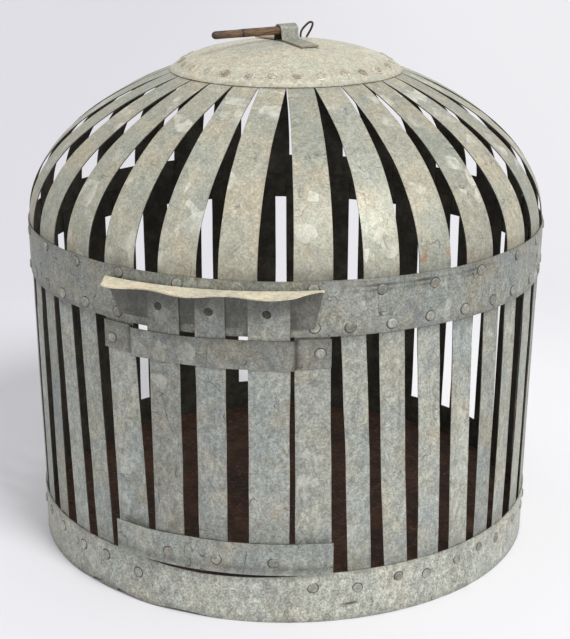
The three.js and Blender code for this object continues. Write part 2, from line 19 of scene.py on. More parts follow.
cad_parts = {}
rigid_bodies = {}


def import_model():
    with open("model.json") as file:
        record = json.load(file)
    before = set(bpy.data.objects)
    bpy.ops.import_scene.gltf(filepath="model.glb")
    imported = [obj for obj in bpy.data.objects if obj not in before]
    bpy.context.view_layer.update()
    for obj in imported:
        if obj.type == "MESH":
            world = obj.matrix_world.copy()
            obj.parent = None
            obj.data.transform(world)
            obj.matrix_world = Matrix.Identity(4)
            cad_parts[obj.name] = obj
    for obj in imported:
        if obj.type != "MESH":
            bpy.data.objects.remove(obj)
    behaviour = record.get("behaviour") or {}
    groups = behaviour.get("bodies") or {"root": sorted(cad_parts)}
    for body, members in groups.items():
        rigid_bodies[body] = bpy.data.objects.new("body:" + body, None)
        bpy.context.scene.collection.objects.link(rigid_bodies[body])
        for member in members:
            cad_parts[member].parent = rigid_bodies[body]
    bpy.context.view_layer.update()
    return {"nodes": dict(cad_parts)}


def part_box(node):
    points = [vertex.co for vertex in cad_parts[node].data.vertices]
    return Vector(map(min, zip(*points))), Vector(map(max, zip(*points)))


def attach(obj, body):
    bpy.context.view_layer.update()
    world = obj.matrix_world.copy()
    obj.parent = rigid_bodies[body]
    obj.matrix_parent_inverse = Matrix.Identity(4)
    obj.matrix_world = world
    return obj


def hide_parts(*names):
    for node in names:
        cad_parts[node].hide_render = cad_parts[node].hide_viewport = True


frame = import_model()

LOG = logging.getLogger("bingo_cage")
MM = 0.001

Point = tuple[Vector, Vector]
Place = Callable[[float, float], Point]
Marks = tuple[float, float, float, float]
Colour = tuple[float, float, float, float]
Socket = Any


# ---------------------------------------------------------------- small geometry helpers


def mix(a: float, b: float, share: float) -> float:
    """The value a share of the way from a to b."""
    return a + (b - a) * share


def clamp(value: float, low: float = 0.0, high: float = 1.0) -> float:
    """The value, held between low and high."""
    return max(low, min(high, value))


def smooth(value: float, start: float, end: float) -> float:
    """A soft step from 0 at start to 1 at end."""
    t = clamp((value - start) / (end - start))
    return t * t * (3 - 2 * t)


def bump(value: float, centre: float, half_width: float) -> float:
    """A soft hump of height 1 at centre that has died away half_width from it."""
    t = clamp(abs(value - centre) / half_width)
    return (1 - t * t) ** 2


def wobble(seed: float, along: float, pitch: float) -> float:
    """A smooth random value from about -1 to 1 that changes over a pitch.

    Args:
        seed: picks the run of values.
        along: distance along the run, in the pitch's units.
        pitch: distance between one bump and the next.

    Returns:
        The value at that distance.
    """
    return 1.6 * noise.noise(Vector((along / pitch, seed * 7.31, seed * 3.17)))


def around(angle: float, radius: float, z: float) -> Vector:
    """The point at an angle about the cage's axis, a radius and a height."""
    turn = math.radians(angle)
    return Vector((radius * math.sin(turn), -radius * math.cos(turn), z))


def angle_of(point: Vector) -> float:
    """The angle about the cage's axis at which a point stands."""
    return math.degrees(math.atan2(point.x, -point.y))


def signed(angle: float) -> float:
    """An angle brought between -180 and 180 degrees."""
    return (angle + 180) % 360 - 180


def bezier(points: Sequence[tuple[float, float]], t: float) -> tuple[float, float, float, float]:
    """A cubic curve's radius and height, and its direction, at t.

    Args:
        points: four control points as (radius, height).
        t: how far along the curve, 0 to 1.

    Returns:
        Radius, height, and the two parts of the unit tangent.
    """
    s = 1 - t
    weights = (s**3, 3 * s * s * t, 3 * s * t * t, t**3)
    slopes = (-3 * s * s, 3 * s * s - 6 * s * t, 6 * s * t - 3 * t * t, 3 * t * t)
    r, z = (sum(w * p[i] for w, p in zip(weights, points)) for i in (0, 1))
    dr, dz = (sum(w * p[i] for w, p in zip(slopes, points)) for i in (0, 1))
    size = math.hypot(dr, dz) or 1.0
    return r, z, dr / size, dz / size


# ---------------------------------------------------------------- what the CAD frame says

@dataclass(frozen=True)
class Edge:
    """One end of an upright sheet: its side angles, the outer radius and the height."""

    left: float
    right: float
    radius: float
    z: float


def sheet_end(node: str, top: bool) -> Edge:
    """Reads the upper or lower end of an upright CAD sheet.

    Args:
        node: the CAD node's name.
        top: True for its upper end.

    Returns:
        The end's side angles, outer radius and height.
    """
    points = [v.co.copy() for v in bpy.data.objects[node].data.vertices]
    level = (max if top else min)(p.z for p in points)
    row = [p for p in points if abs(p.z - level) < 0.2 * MM]
    centre = angle_of(sum(row, Vector()) / len(row))
    turns = [signed(angle_of(p) - centre) for p in row]
    radius = max(math.hypot(p.x, p.y) for p in row)
    return Edge(centre + min(turns), centre + max(turns), radius, level)


@dataclass(frozen=True)
class Shell:
    """The cage's surfaces of revolution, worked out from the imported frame."""

    nodes: tuple[str, ...]
    sheet: float = 0.8 * MM
    gap: float = 0.3 * MM
    cap_rise: float = 24 * MM
    shoulder: float = 0.65
    rib_end_inset: float = 19 * MM
    foot: Edge = field(default_factory=lambda: sheet_end("left_post", False))
    head: Edge = field(default_factory=lambda: sheet_end("left_post", True))
    belt_bottom: float = field(default_factory=lambda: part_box("mid_hoop")[0].z)
    belt_top: float = field(default_factory=lambda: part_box("mid_hoop")[1].z)
    foot_top: float = field(default_factory=lambda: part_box("bottom_hoop")[1].z)
    cap_radius: float = field(default_factory=lambda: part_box("cap")[1].x)
    crown: float = field(default_factory=lambda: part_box("cap")[1].z)

    def like(self, stem: str) -> list[str]:
        """Names of the CAD nodes that start with a stem, in order."""
        return sorted(name for name in self.nodes if name.startswith(stem))

    @property
    def taper(self) -> float:
        """How much the wall's radius grows for each unit of height."""
        return (self.head.radius - self.foot.radius) / (self.head.z - self.foot.z)

    @property
    def hoop_out(self) -> float:
        """From the slats' outer face to a hoop's outer face."""
        return self.gap + self.sheet

    def wall(self, z: float) -> float:
        """Radius of the slats' outer face at a height."""
        return self.foot.radius + self.taper * (z - self.foot.z)

    def on_wall(self, angle: float, z: float, out: float) -> Point:
        """A point beyond the slats' outer face, with the wall's outward normal there."""
        normal = around(angle, 1.0, -self.taper).normalized()
        return around(angle, self.wall(z) + out, z), normal

    @property
    def cap_curve(self) -> list[tuple[float, float]]:
        """Control points of the cap's outer face, from its edge to the crown.

        Returns:
            Four points as (radius, height).
        """
        return [
            (self.cap_radius, self.crown - self.cap_rise),
            (self.cap_radius * 0.81, self.crown - self.cap_rise * 0.3),
            (self.cap_radius * 0.445, self.crown),
            (0.0, self.crown),
        ]

    @property
    def dome_curve(self) -> list[tuple[float, float]]:
        """Control points of the ribs' outer face, from the middle hoop to the cap's edge.

        Returns:
            Four points as (radius, height).
        """
        r, z, dr, dz = bezier(self.cap_curve, 0.0)
        head = (r - dz * self.hoop_out, z + dr * self.hoop_out)
        start = (self.wall(self.belt_top), self.belt_top)
        shoulder = (start[0], mix(start[1], head[1], self.shoulder))
        near = (mix(head[0], shoulder[0], 0.02), mix(head[1], shoulder[1], 0.02))
        return [start, shoulder, near, head]

    def cap_at(self, radius: float) -> float:
        """How far along the cap's curve its radius has shrunk to the given one.

        Args:
            radius: the radius to find.

        Returns:
            The place on the curve, 0 at the edge to 1 at the crown.
        """
        low, high = 0.0, 1.0
        for _ in range(30):
            half = (low + high) / 2
            low, high = (half, high) if bezier(self.cap_curve, half)[0] > radius else (low, half)
        return low

    def on_cap(self, angle: float, radius: float) -> Point:
        """A point on the cap's outer face, with the outward normal there."""
        r, z, dr, dz = bezier(self.cap_curve, self.cap_at(radius))
        return around(angle, r, z), around(angle, dz, -dr).normalized()


# ---------------------------------------------------------------- finishes


def tint(red: int, green: int, blue: int) -> tuple[float, float, float, float]:
    """A display colour, 0 to 255 a channel, as the linear colour a shader takes."""
    linear = [c / 3294.6 if c <= 10 else ((c / 255 + 0.055) / 1.055) ** 2.4 for c in (red, green, blue)]
    return (linear[0], linear[1], linear[2], 1.0)


class Graph:
    """A material's node tree, built from short calls."""

    PIECE_SHIFT = (3.7, 5.3, 7.9)

    def __init__(self, name: str) -> None:
        """Starts a material with a bare principled shader.

        Args:
            name: the material's name.
        """
        self.material = bpy.data.materials.new(name)
        self.material.use_nodes = True
        self.tree = self.material.node_tree
        self.shader = self.tree.nodes["Principled BSDF"]

    def node(self, kind: str, inputs: dict[Any, Any] | None = None, **settings: Any) -> Any:
        """Adds a node.

        Args:
            kind: the node's type.
            inputs: a value or a socket for each named or numbered input.
            settings: the node's own settings.

        Returns:
            The node.
        """
        made = self.tree.nodes.new(kind)
        for key, value in settings.items():
            setattr(made, key, value)
        for key, value in (inputs or {}).items():
            self.feed(made.inputs[key], value)
        return made

    def feed(self, socket: Socket, value: Any) -> None:
        """Gives an input a value, or links a socket to it.

        Args:
            socket: the input.
            value: a plain value, or the output to link.
        """
        if isinstance(value, bpy.types.NodeSocket):
            self.tree.links.new(value, socket)
        else:
            socket.default_value = value

    def mark(self, name: str) -> Socket:
        """A number that the mesh carries at each of its points."""
        return self.node("ShaderNodeAttribute", attribute_name=name).outputs["Fac"]

    def sum(self, op: str, a: Any, b: Any = 0.0, hold: bool = False) -> Socket:
        """A sum, product or other arithmetic on two numbers."""
        made = self.node("ShaderNodeMath", {0: a, 1: b}, operation=op, use_clamp=hold)
        return made.outputs[0]

    def place(self, stretch: Sequence[float] = (1.0, 1.0, 1.0)) -> Socket:
        """Object coordinates, shifted for each piece by its own mark and stretched.

        Args:
            stretch: how much the coordinates are scaled along each axis.

        Returns:
            The coordinates.
        """
        where = self.node("ShaderNodeTexCoord").outputs["Object"]
        own = {0: self.PIECE_SHIFT, 3: self.mark("tone")}
        shift = self.node("ShaderNodeVectorMath", own, operation="SCALE").outputs[0]
        moved = self.node("ShaderNodeVectorMath", {0: where, 1: shift}, operation="ADD").outputs[0]
        scale = {0: moved, 1: tuple(stretch)}
        return self.node("ShaderNodeVectorMath", scale, operation="MULTIPLY").outputs[0]

    def grain(self, where: Socket, scale: float, detail: float = 4.0, rough: float = 0.55) -> Socket:
        """Cloudy noise from 0 to 1."""
        inputs = {"Vector": where, "Scale": scale, "Detail": detail, "Roughness": rough}
        return self.node("ShaderNodeTexNoise", inputs).outputs["Fac"]

    def step(self, value: Socket, low: float, high: float, out_low: float = 0.0,
             out_high: float = 1.0) -> Socket:
        """Spreads the values between low and high over a new range, and holds the rest.

        Args:
            value: the number to spread.
            low: where the range starts.
            high: where it ends.
            out_low: the result at low.
            out_high: the result at high.

        Returns:
            The spread value.
        """
        inputs = {"Value": value, "From Min": low, "From Max": high, "To Min": out_low, "To Max": out_high}
        return self.node("ShaderNodeMapRange", inputs, interpolation_type="SMOOTHSTEP").outputs["Result"]

    def blend(self, share: Any, a: Any, b: Any, mode: str = "MIX") -> Socket:
        """Mixes two colours.

        Args:
            share: how much of the second colour shows.
            a: the first colour.
            b: the second colour.
            mode: how the two are mixed.

        Returns:
            The mixed colour.
        """
        made = self.node("ShaderNodeMix", data_type="RGBA", blend_type=mode)
        self.feed(made.inputs[0], share)
        self.feed(made.inputs[6], a)
        self.feed(made.inputs[7], b)
        return made.outputs[2]

    def relief(self, height: Socket, depth: float, strength: float = 1.0) -> Socket:
        """A bump normal from a height."""
        inputs = {"Height": height, "Distance": depth, "Strength": strength}
        return self.node("ShaderNodeBump", inputs).outputs["Normal"]


@dataclass(frozen=True)
class Zinc:
    """Weathered galvanised sheet, from its clouded ground to its scratches, rubbed edges and rust.

    The numbers from facets to rust say how strongly the painted glints and each kind of wear show. The
    patterns' numbers in capitals are in cells to the metre, and each run of scratches has its upright
    stretch.
    """

    name: str
    body: Colour
    cool: Colour
    warm: Colour
    edge: Colour = tint(140, 126, 104)
    facets: float = 0.22
    bloom: float = 0.4
    mottle: float = 0.24
    speckle: float = 0.3
    scratch: float = 0.5
    rust: float = 1.0
    roughness: float = 0.52
    metal: float = 0.35
    stretch: tuple[float, float, float] = (1.0, 1.0, 0.6)

    CLOUDS = 16
    WARM_PATCHES = 27
    MOTTLES = 210
    SPECKLES = 560
    CRYSTALS = 230.0
    BLOOMS = 95
    SMEARS = 240
    PITS = 430
    SCRATCHES = ((0.5, 34), (2.4, 26))
    FACETS = 78.0
    FACET_PATCHES = 19
    RUBS = 90
    GRIME_AND_SHADE_PATCHES = 70
    RUSTS = 300
    RUST_SPECKS = 205

    CHALK = tint(222, 221, 210)
    SMEAR = tint(108, 108, 100)
    PIT = tint(72, 68, 60)
    SCORE = tint(70, 68, 62)
    # the colour of the painted glints on the facets
    GLINT = tint(222, 221, 209)
    # the dark colour of the dirt mark, used for dirt and for painted shade alike
    DIRT_AND_SHADE = tint(58, 56, 50)
    SPECK = tint(136, 100, 72)
    RUST_DARK = tint(98, 66, 44)
    RUST_LIGHT = tint(172, 126, 88)

    def make(self) -> bpy.types.Material:
        """Builds the material.

        Returns:
            The material.
        """
        g = Graph(self.name)
        where = g.place(self.stretch)
        mottle = g.grain(where, self.MOTTLES, 5, 0.66)
        fine = g.grain(g.place(), self.SPECKLES, 3, 0.7)
        colour = self.ground(g, where, mottle, fine)
        colour = self.stains(g, where, colour)
        colour = self.scratches(g, colour)
        colour = self.glints(g, where, mottle, colour)
        colour = self.handling(g, where, colour)
        spread = g.sum("ADD", g.mark("rust"), g.grain(where, self.RUSTS, 6, 0.8))
        rusty = g.sum("MULTIPLY", g.step(spread, 0.98, 1.34, 0.0, 0.85), self.rust, True)
        specks = g.step(g.grain(where, self.RUST_SPECKS, 6, 0.75), 0.685, 0.74, 0.0, 0.6)
        colour = g.blend(g.sum("MULTIPLY", specks, self.rust), colour, self.SPECK)
        colour = g.blend(rusty, colour, g.blend(fine, self.RUST_DARK, self.RUST_LIGHT))
        g.feed(g.shader.inputs["Base Color"], colour)
        g.shader.inputs["Metallic"].default_value = self.metal
        dull = g.step(mottle, 0.2, 0.8, self.roughness - 0.1, self.roughness + 0.14)
        g.feed(g.shader.inputs["Roughness"], g.sum("ADD", dull, g.sum("MULTIPLY", rusty, 0.2)))
        height = g.sum("ADD", g.sum("MULTIPLY", mottle, 0.6), g.sum("MULTIPLY", fine, 0.4))
        g.feed(g.shader.inputs["Normal"], g.relief(height, 0.3 * MM, 0.7))
        return g.material

    def ground(self, g: Graph, where: Socket, mottle: Socket, fine: Socket) -> Socket:
        """The sheet's own colour: three tints in clouds, shaded by mottling, crystals and tone.

        Args:
            g: the material's graph.
            where: the piece's own coordinates.
            mottle: the mottling noise.
            fine: the speckling noise.

        Returns:
            The colour.
        """
        clouds = g.grain(where, self.CLOUDS, 3, 0.5)
        warmth = g.grain(g.place((1.3, 0.9, 1.1)), self.WARM_PATCHES, 4, 0.6)
        crystals = g.node("ShaderNodeTexVoronoi", {"Vector": where, "Scale": self.CRYSTALS})
        crystal = g.node("ShaderNodeSeparateColor", {"Color": crystals.outputs["Color"]}).outputs[0]
        colour = g.blend(g.step(clouds, 0.36, 0.66), self.body, self.cool)
        colour = g.blend(g.step(warmth, 0.44, 0.7), colour, self.warm)
        speckle = g.step(fine, 0.3, 0.7, 1.0 - self.speckle, 1.0 + self.speckle)
        shade = g.step(mottle, 0.3, 0.72, 1.0 - self.mottle, 1.0 + self.mottle)
        glitter = g.step(crystal, 0.0, 1.0, 0.93, 1.07)
        tone = g.step(g.mark("tone"), 0.0, 1.0, 0.81, 1.21)
        for more in (speckle, glitter, tone):
            shade = g.sum("MULTIPLY", shade, more)
        shading = g.node("ShaderNodeCombineColor", {0: shade, 1: shade, 2: shade}).outputs[0]
        return g.blend(1.0, colour, shading, "MULTIPLY")

    def stains(self, g: Graph, where: Socket, colour: Socket) -> Socket:
        """Chalky bloom, then smears that run down the sheet, then pits.

        Args:
            g: the material's graph.
            where: the piece's own coordinates.
            colour: the colour so far.

        Returns:
            The stained colour.
        """
        bloom = g.step(g.grain(where, self.BLOOMS, 8, 0.75), 0.6, 0.72)
        colour = g.blend(g.sum("MULTIPLY", bloom, self.bloom), colour, self.CHALK)
        smears = g.step(g.grain(g.place((1.0, 1.0, 0.22)), self.SMEARS, 4, 0.6), 0.6, 0.76, 0.0, 0.4)
        colour = g.blend(smears, colour, self.SMEAR)
        pits = g.step(g.grain(where, self.PITS, 5, 0.7), 0.655, 0.72, 0.0, 0.6)
        return g.blend(pits, colour, self.PIT)

    def scratches(self, g: Graph, colour: Socket) -> Socket:
        """Thin scratches that follow the level lines of a grain, in patches.

        Args:
            g: the material's graph.
            colour: the colour so far.

        Returns:
            The scratched colour.
        """
        for lean, pitch in self.SCRATCHES:
            where = g.place((1.0, 1.0, lean))
            off = g.sum("ABSOLUTE", g.sum("SUBTRACT", g.grain(where, pitch, 2, 0.5), 0.5))
            patchy = g.step(g.grain(where, pitch * 1.7, 3), 0.5, 0.62, 0.0, self.scratch)
            line = g.sum("MULTIPLY", g.step(off, 0.001, 0.008, 1.0, 0.0), patchy)
            colour = g.blend(line, colour, self.SCORE)
        return colour

    def glints(self, g: Graph, where: Socket, mottle: Socket, colour: Socket) -> Socket:
        """Angular bright facets in patches, where the zinc is rubbed: painted glints.

        Args:
            g: the material's graph.
            where: the piece's own coordinates.
            mottle: the mottling noise, which breaks the facets up.
            colour: the colour so far.

        Returns:
            The colour with its facets.
        """
        cells = g.node("ShaderNodeTexVoronoi", {"Vector": g.place((1.0, 1.0, 0.8)), "Scale": self.FACETS})
        facet = g.node("ShaderNodeSeparateColor", {"Color": cells.outputs["Color"]}).outputs[1]
        patchy = g.step(g.grain(where, self.FACET_PATCHES, 3), 0.47, 0.6, 0.0, self.facets)
        bright = g.sum("MULTIPLY", g.step(facet, 0.72, 0.8), patchy)
        bright = g.sum("MULTIPLY", bright, g.step(mottle, 0.35, 0.6, 0.4, 1.0))
        return g.blend(bright, colour, self.GLINT)

    def handling(self, g: Graph, where: Socket, colour: Socket) -> Socket:
        """Rubbed edges, and dirt and painted shade where the sheet is marked for them.

        Args:
            g: the material's graph.
            where: the piece's own coordinates.
            colour: the colour so far.

        Returns:
            The rubbed and dirtied colour.
        """
        worn = g.step(g.grain(where, self.RUBS, 4), 0.4, 0.62, 0.0, 0.6)
        colour = g.blend(g.sum("MULTIPLY", g.mark("edge"), worn), colour, self.edge)
        uneven = g.step(g.grain(where, self.GRIME_AND_SHADE_PATCHES, 5, 0.6), 0.25, 0.75, 0.6, 1.0)
        return g.blend(g.sum("MULTIPLY", g.mark("grime_and_shade"), uneven, True), colour, self.DIRT_AND_SHADE)


@dataclass(frozen=True)
class Tarnish:
    """A dark, dull face: the inside of the straps (tarnish with painted shade), old rust or old iron."""

    name: str
    body: Colour
    patch: Colour
    scale: float = 60.0
    roughness: float = 0.8
    metal: float = 0.1
    relief: float = 0.4 * MM

    def make(self) -> bpy.types.Material:
        """Builds the material.

        Returns:
            The material.
        """
        g = Graph(self.name)
        where = g.place()
        clouds = g.grain(where, self.scale, 6, 0.62)
        fine = g.grain(where, self.scale * 7, 4, 0.6)
        colour = g.blend(g.step(clouds, 0.38, 0.68), self.body, self.patch)
        colour = g.blend(g.step(fine, 0.3, 0.8, 0.0, 0.35), colour, tint(12, 10, 9))
        g.feed(g.shader.inputs["Base Color"], colour)
        g.shader.inputs["Metallic"].default_value = self.metal
        dull = g.step(clouds, 0.2, 0.8, self.roughness - 0.08, self.roughness + 0.1)
        g.feed(g.shader.inputs["Roughness"], dull)
        g.feed(g.shader.inputs["Normal"], g.relief(fine, self.relief, 0.8))
        return g.material


@dataclass(frozen=True)
class RustedFloor:
    """Rust-brown sheet, crossed by wandering scratches."""

    name: str = "rusted_floor"

    def make(self) -> bpy.types.Material:
        """Builds the material.

        Returns:
            The material.
        """
        g = Graph(self.name)
        where = g.place()
        clouds = g.grain(where, 22, 6, 0.65)
        fine = g.grain(where, 260, 5, 0.65)
        colour = g.blend(g.step(clouds, 0.35, 0.68), tint(50, 34, 24), tint(84, 54, 37))
        for pitch in (34, 58):
            course = g.sum("ABSOLUTE", g.sum("SUBTRACT", g.grain(where, pitch, 3, 0.6), 0.5))
            colour = g.blend(g.step(course, 0.0, 0.012, 0.5, 0.0), colour, tint(128, 96, 74))
        colour = g.blend(g.step(fine, 0.35, 0.75, 0.0, 0.6), colour, tint(28, 20, 15))
        g.feed(g.shader.inputs["Base Color"], colour)
        g.shader.inputs["Metallic"].default_value = 0.05
        g.shader.inputs["Roughness"].default_value = 0.85
        g.feed(g.shader.inputs["Normal"], g.relief(fine, 0.5 * MM, 0.8))
        return g.material


@dataclass(frozen=True)
class WornWood:
    """Dark, handled wood with its grain along the peg."""

    name: str
    along: tuple[float, float, float]

    def make(self) -> bpy.types.Material:
        """Builds the material.

        Returns:
            The material.
        """
        g = Graph(self.name)
        where = g.node("ShaderNodeTexCoord").outputs["Object"]
        lie = {"Vector": where, "Angle": math.atan2(self.along[1], self.along[0])}
        turned = g.node("ShaderNodeVectorRotate", lie, rotation_type="Z_AXIS", invert=True).outputs[0]
        drawn_out = {0: turned, 1: (0.12, 1.0, 1.0)}
        fibres = g.node("ShaderNodeVectorMath", drawn_out, operation="MULTIPLY").outputs[0]
        grain = g.grain(fibres, 900, 5, 0.6)
        patches = g.grain(turned, 70, 4, 0.6)
        colour = g.blend(g.step(grain, 0.3, 0.72), tint(54, 39, 26), tint(146, 110, 72))
        colour = g.blend(g.step(patches, 0.4, 0.66, 0.0, 0.75), colour, tint(62, 42, 30))
        colour = g.blend(g.mark("grime_and_shade"), colour, tint(24, 19, 16))
        g.feed(g.shader.inputs["Base Color"], colour)
        g.shader.inputs["Roughness"].default_value = 0.62
        g.feed(g.shader.inputs["Normal"], g.relief(grain, 0.3 * MM, 0.8))
        return g.material


@dataclass(frozen=True)
class Paper:
    """The pale surface under the cage, with painted shade to the left and painted falloff away from it."""

    name: str = "pale_floor_painted_light"

    def make(self) -> bpy.types.Material:
        """Builds the material.

        Returns:
            The material.
        """
        g = Graph(self.name)
        where = g.node("ShaderNodeTexCoord").outputs["Object"]
        across = g.node("ShaderNodeSeparateXYZ", {"Vector": where}).outputs["X"]
        away = g.node("ShaderNodeVectorMath", {0: where}, operation="LENGTH").outputs["Value"]
        # painted shade to the left, and a painted light falloff away from the cage
        colour = g.blend(g.step(across, -0.55, 0.7), tint(214, 213, 217), tint(230, 230, 231))
        colour = g.blend(g.step(away, 0.2, 0.85), colour, (0.79, 0.79, 0.8, 1.0), "MULTIPLY")
        g.feed(g.shader.inputs["Base Color"], colour)
        g.shader.inputs["Roughness"].default_value = 0.9
        return g.material


class Finish(Enum):
    """The cage's finishes, by the face that they are on."""

    WALL = Zinc("wall_zinc", tint(146, 148, 139), tint(137, 142, 138), tint(150, 147, 132))
    BELT = Zinc("belt_zinc", tint(138, 140, 132), tint(130, 134, 129), tint(143, 140, 126), scratch=0.9,
                speckle=0.36, mottle=0.2)
    FOOT = Zinc("foot_zinc", tint(166, 168, 156), tint(159, 162, 154), tint(168, 166, 153), speckle=0.4,
                mottle=0.28)
    CAP = Zinc("cap_zinc", tint(184, 180, 161), tint(177, 176, 160), tint(188, 180, 158), bloom=0.4,
               mottle=0.1, speckle=0.24, scratch=0.3)
    DOME = Zinc("dome_zinc", tint(158, 156, 140), tint(148, 151, 139), tint(166, 159, 139), bloom=0.35,
                mottle=0.12, speckle=0.23, facets=0.5)
    DOOR = Zinc("door_zinc", tint(142, 144, 136), tint(132, 137, 133), tint(146, 143, 130), scratch=0.8)
    LIP = Zinc("lip_zinc", tint(222, 212, 186), tint(212, 205, 182), tint(228, 214, 184), bloom=0.2,
               mottle=0.12, speckle=0.14, roughness=0.6, metal=0.1, scratch=0.2)
    RIVET = Zinc("rivet_zinc", tint(138, 138, 129), tint(130, 132, 125), tint(142, 137, 122), mottle=0.3,
                 bloom=0.2, rust=0.9)
    CAP_RIVET = Zinc("cap_rivet_zinc", tint(160, 154, 138), tint(150, 148, 136), tint(160, 148, 128),
                     bloom=0.2, rust=0.9)
    HALO = Zinc("cap_halo_zinc", tint(188, 182, 162), tint(180, 177, 160), tint(192, 180, 156), rust=0.5)
    # inner faces: tarnish, darkened further as painted shade of the cage's inside
    INSIDE = Tarnish("inner_tarnish_and_shade", tint(52, 50, 42), tint(84, 80, 68))
    # rivet skirts: stain, and painted contact shadow round the head
    STAIN_AND_SHADE = Tarnish("rivet_stain_and_shade", tint(78, 76, 69), tint(70, 66, 58), scale=300, roughness=0.7,
                    relief=0.1 * MM)
    SUNK = Tarnish("sunk_rivet", tint(58, 52, 44), tint(92, 84, 72), scale=420, relief=0.1 * MM)
    WIRE = Tarnish("dark_wire", tint(58, 40, 32), tint(88, 60, 44), scale=260, roughness=0.6, metal=0.4)
    PAN = RustedFloor()
    FLOOR = Paper()


class Palette:
    """Makes each finish once and hands it out."""

    def __init__(self) -> None:
        """Starts with nothing made."""
        self.made: dict[str, bpy.types.Material] = {}

    def get(self, finish: Any) -> bpy.types.Material:
        """The material for a finish or for an entry of the Finish enum.

        Args:
            finish: a finish, or an entry of the Finish enum.

        Returns:
            The material, made on first use.
        """
        maker = finish.value if isinstance(finish, Finish) else finish
        if maker.name not in self.made:
            self.made[maker.name] = maker.make()
        return self.made[maker.name]


# ---------------------------------------------------------------- sheets and turned pieces


def stops(count: int, rim: float = 0.0) -> list[float]:
    """Positions from 0 to 1, with an extra pair close to the ends.

    Args:
        count: how many equal steps.
        rim: share of the width at which the extra pair lies; 0 for none.

    Returns:
        The positions in order.
    """
    inner = [i / count for i in range(1, count)]
    return [0.0] + ([rim] if rim else []) + inner + ([1 - rim] if rim else []) + [1.0]


@dataclass
class SheetSpec:
    """How one bent sheet is meshed and dressed.

    A sheet's place gives a point and its outward normal for u across the sheet and v along it, both
    from 0 to 1. Its cut edges take the face's finish where cut is 0 and the back's where it is 1.
    """

    name: str
    place: Place
    across: list[float]
    along: list[float]
    thickness: float
    face: Finish
    back: Finish = Finish.INSIDE
    tone: float = 0.5
    closed: bool = False
    cut: int = 1
    # how dark each point is made: dirt, and on some pieces painted shade
    grime_and_shade: Callable[[float, float], float] = lambda u, v: 0.0
    rust: Callable[[float, float], float] = lambda u, v: 0.0


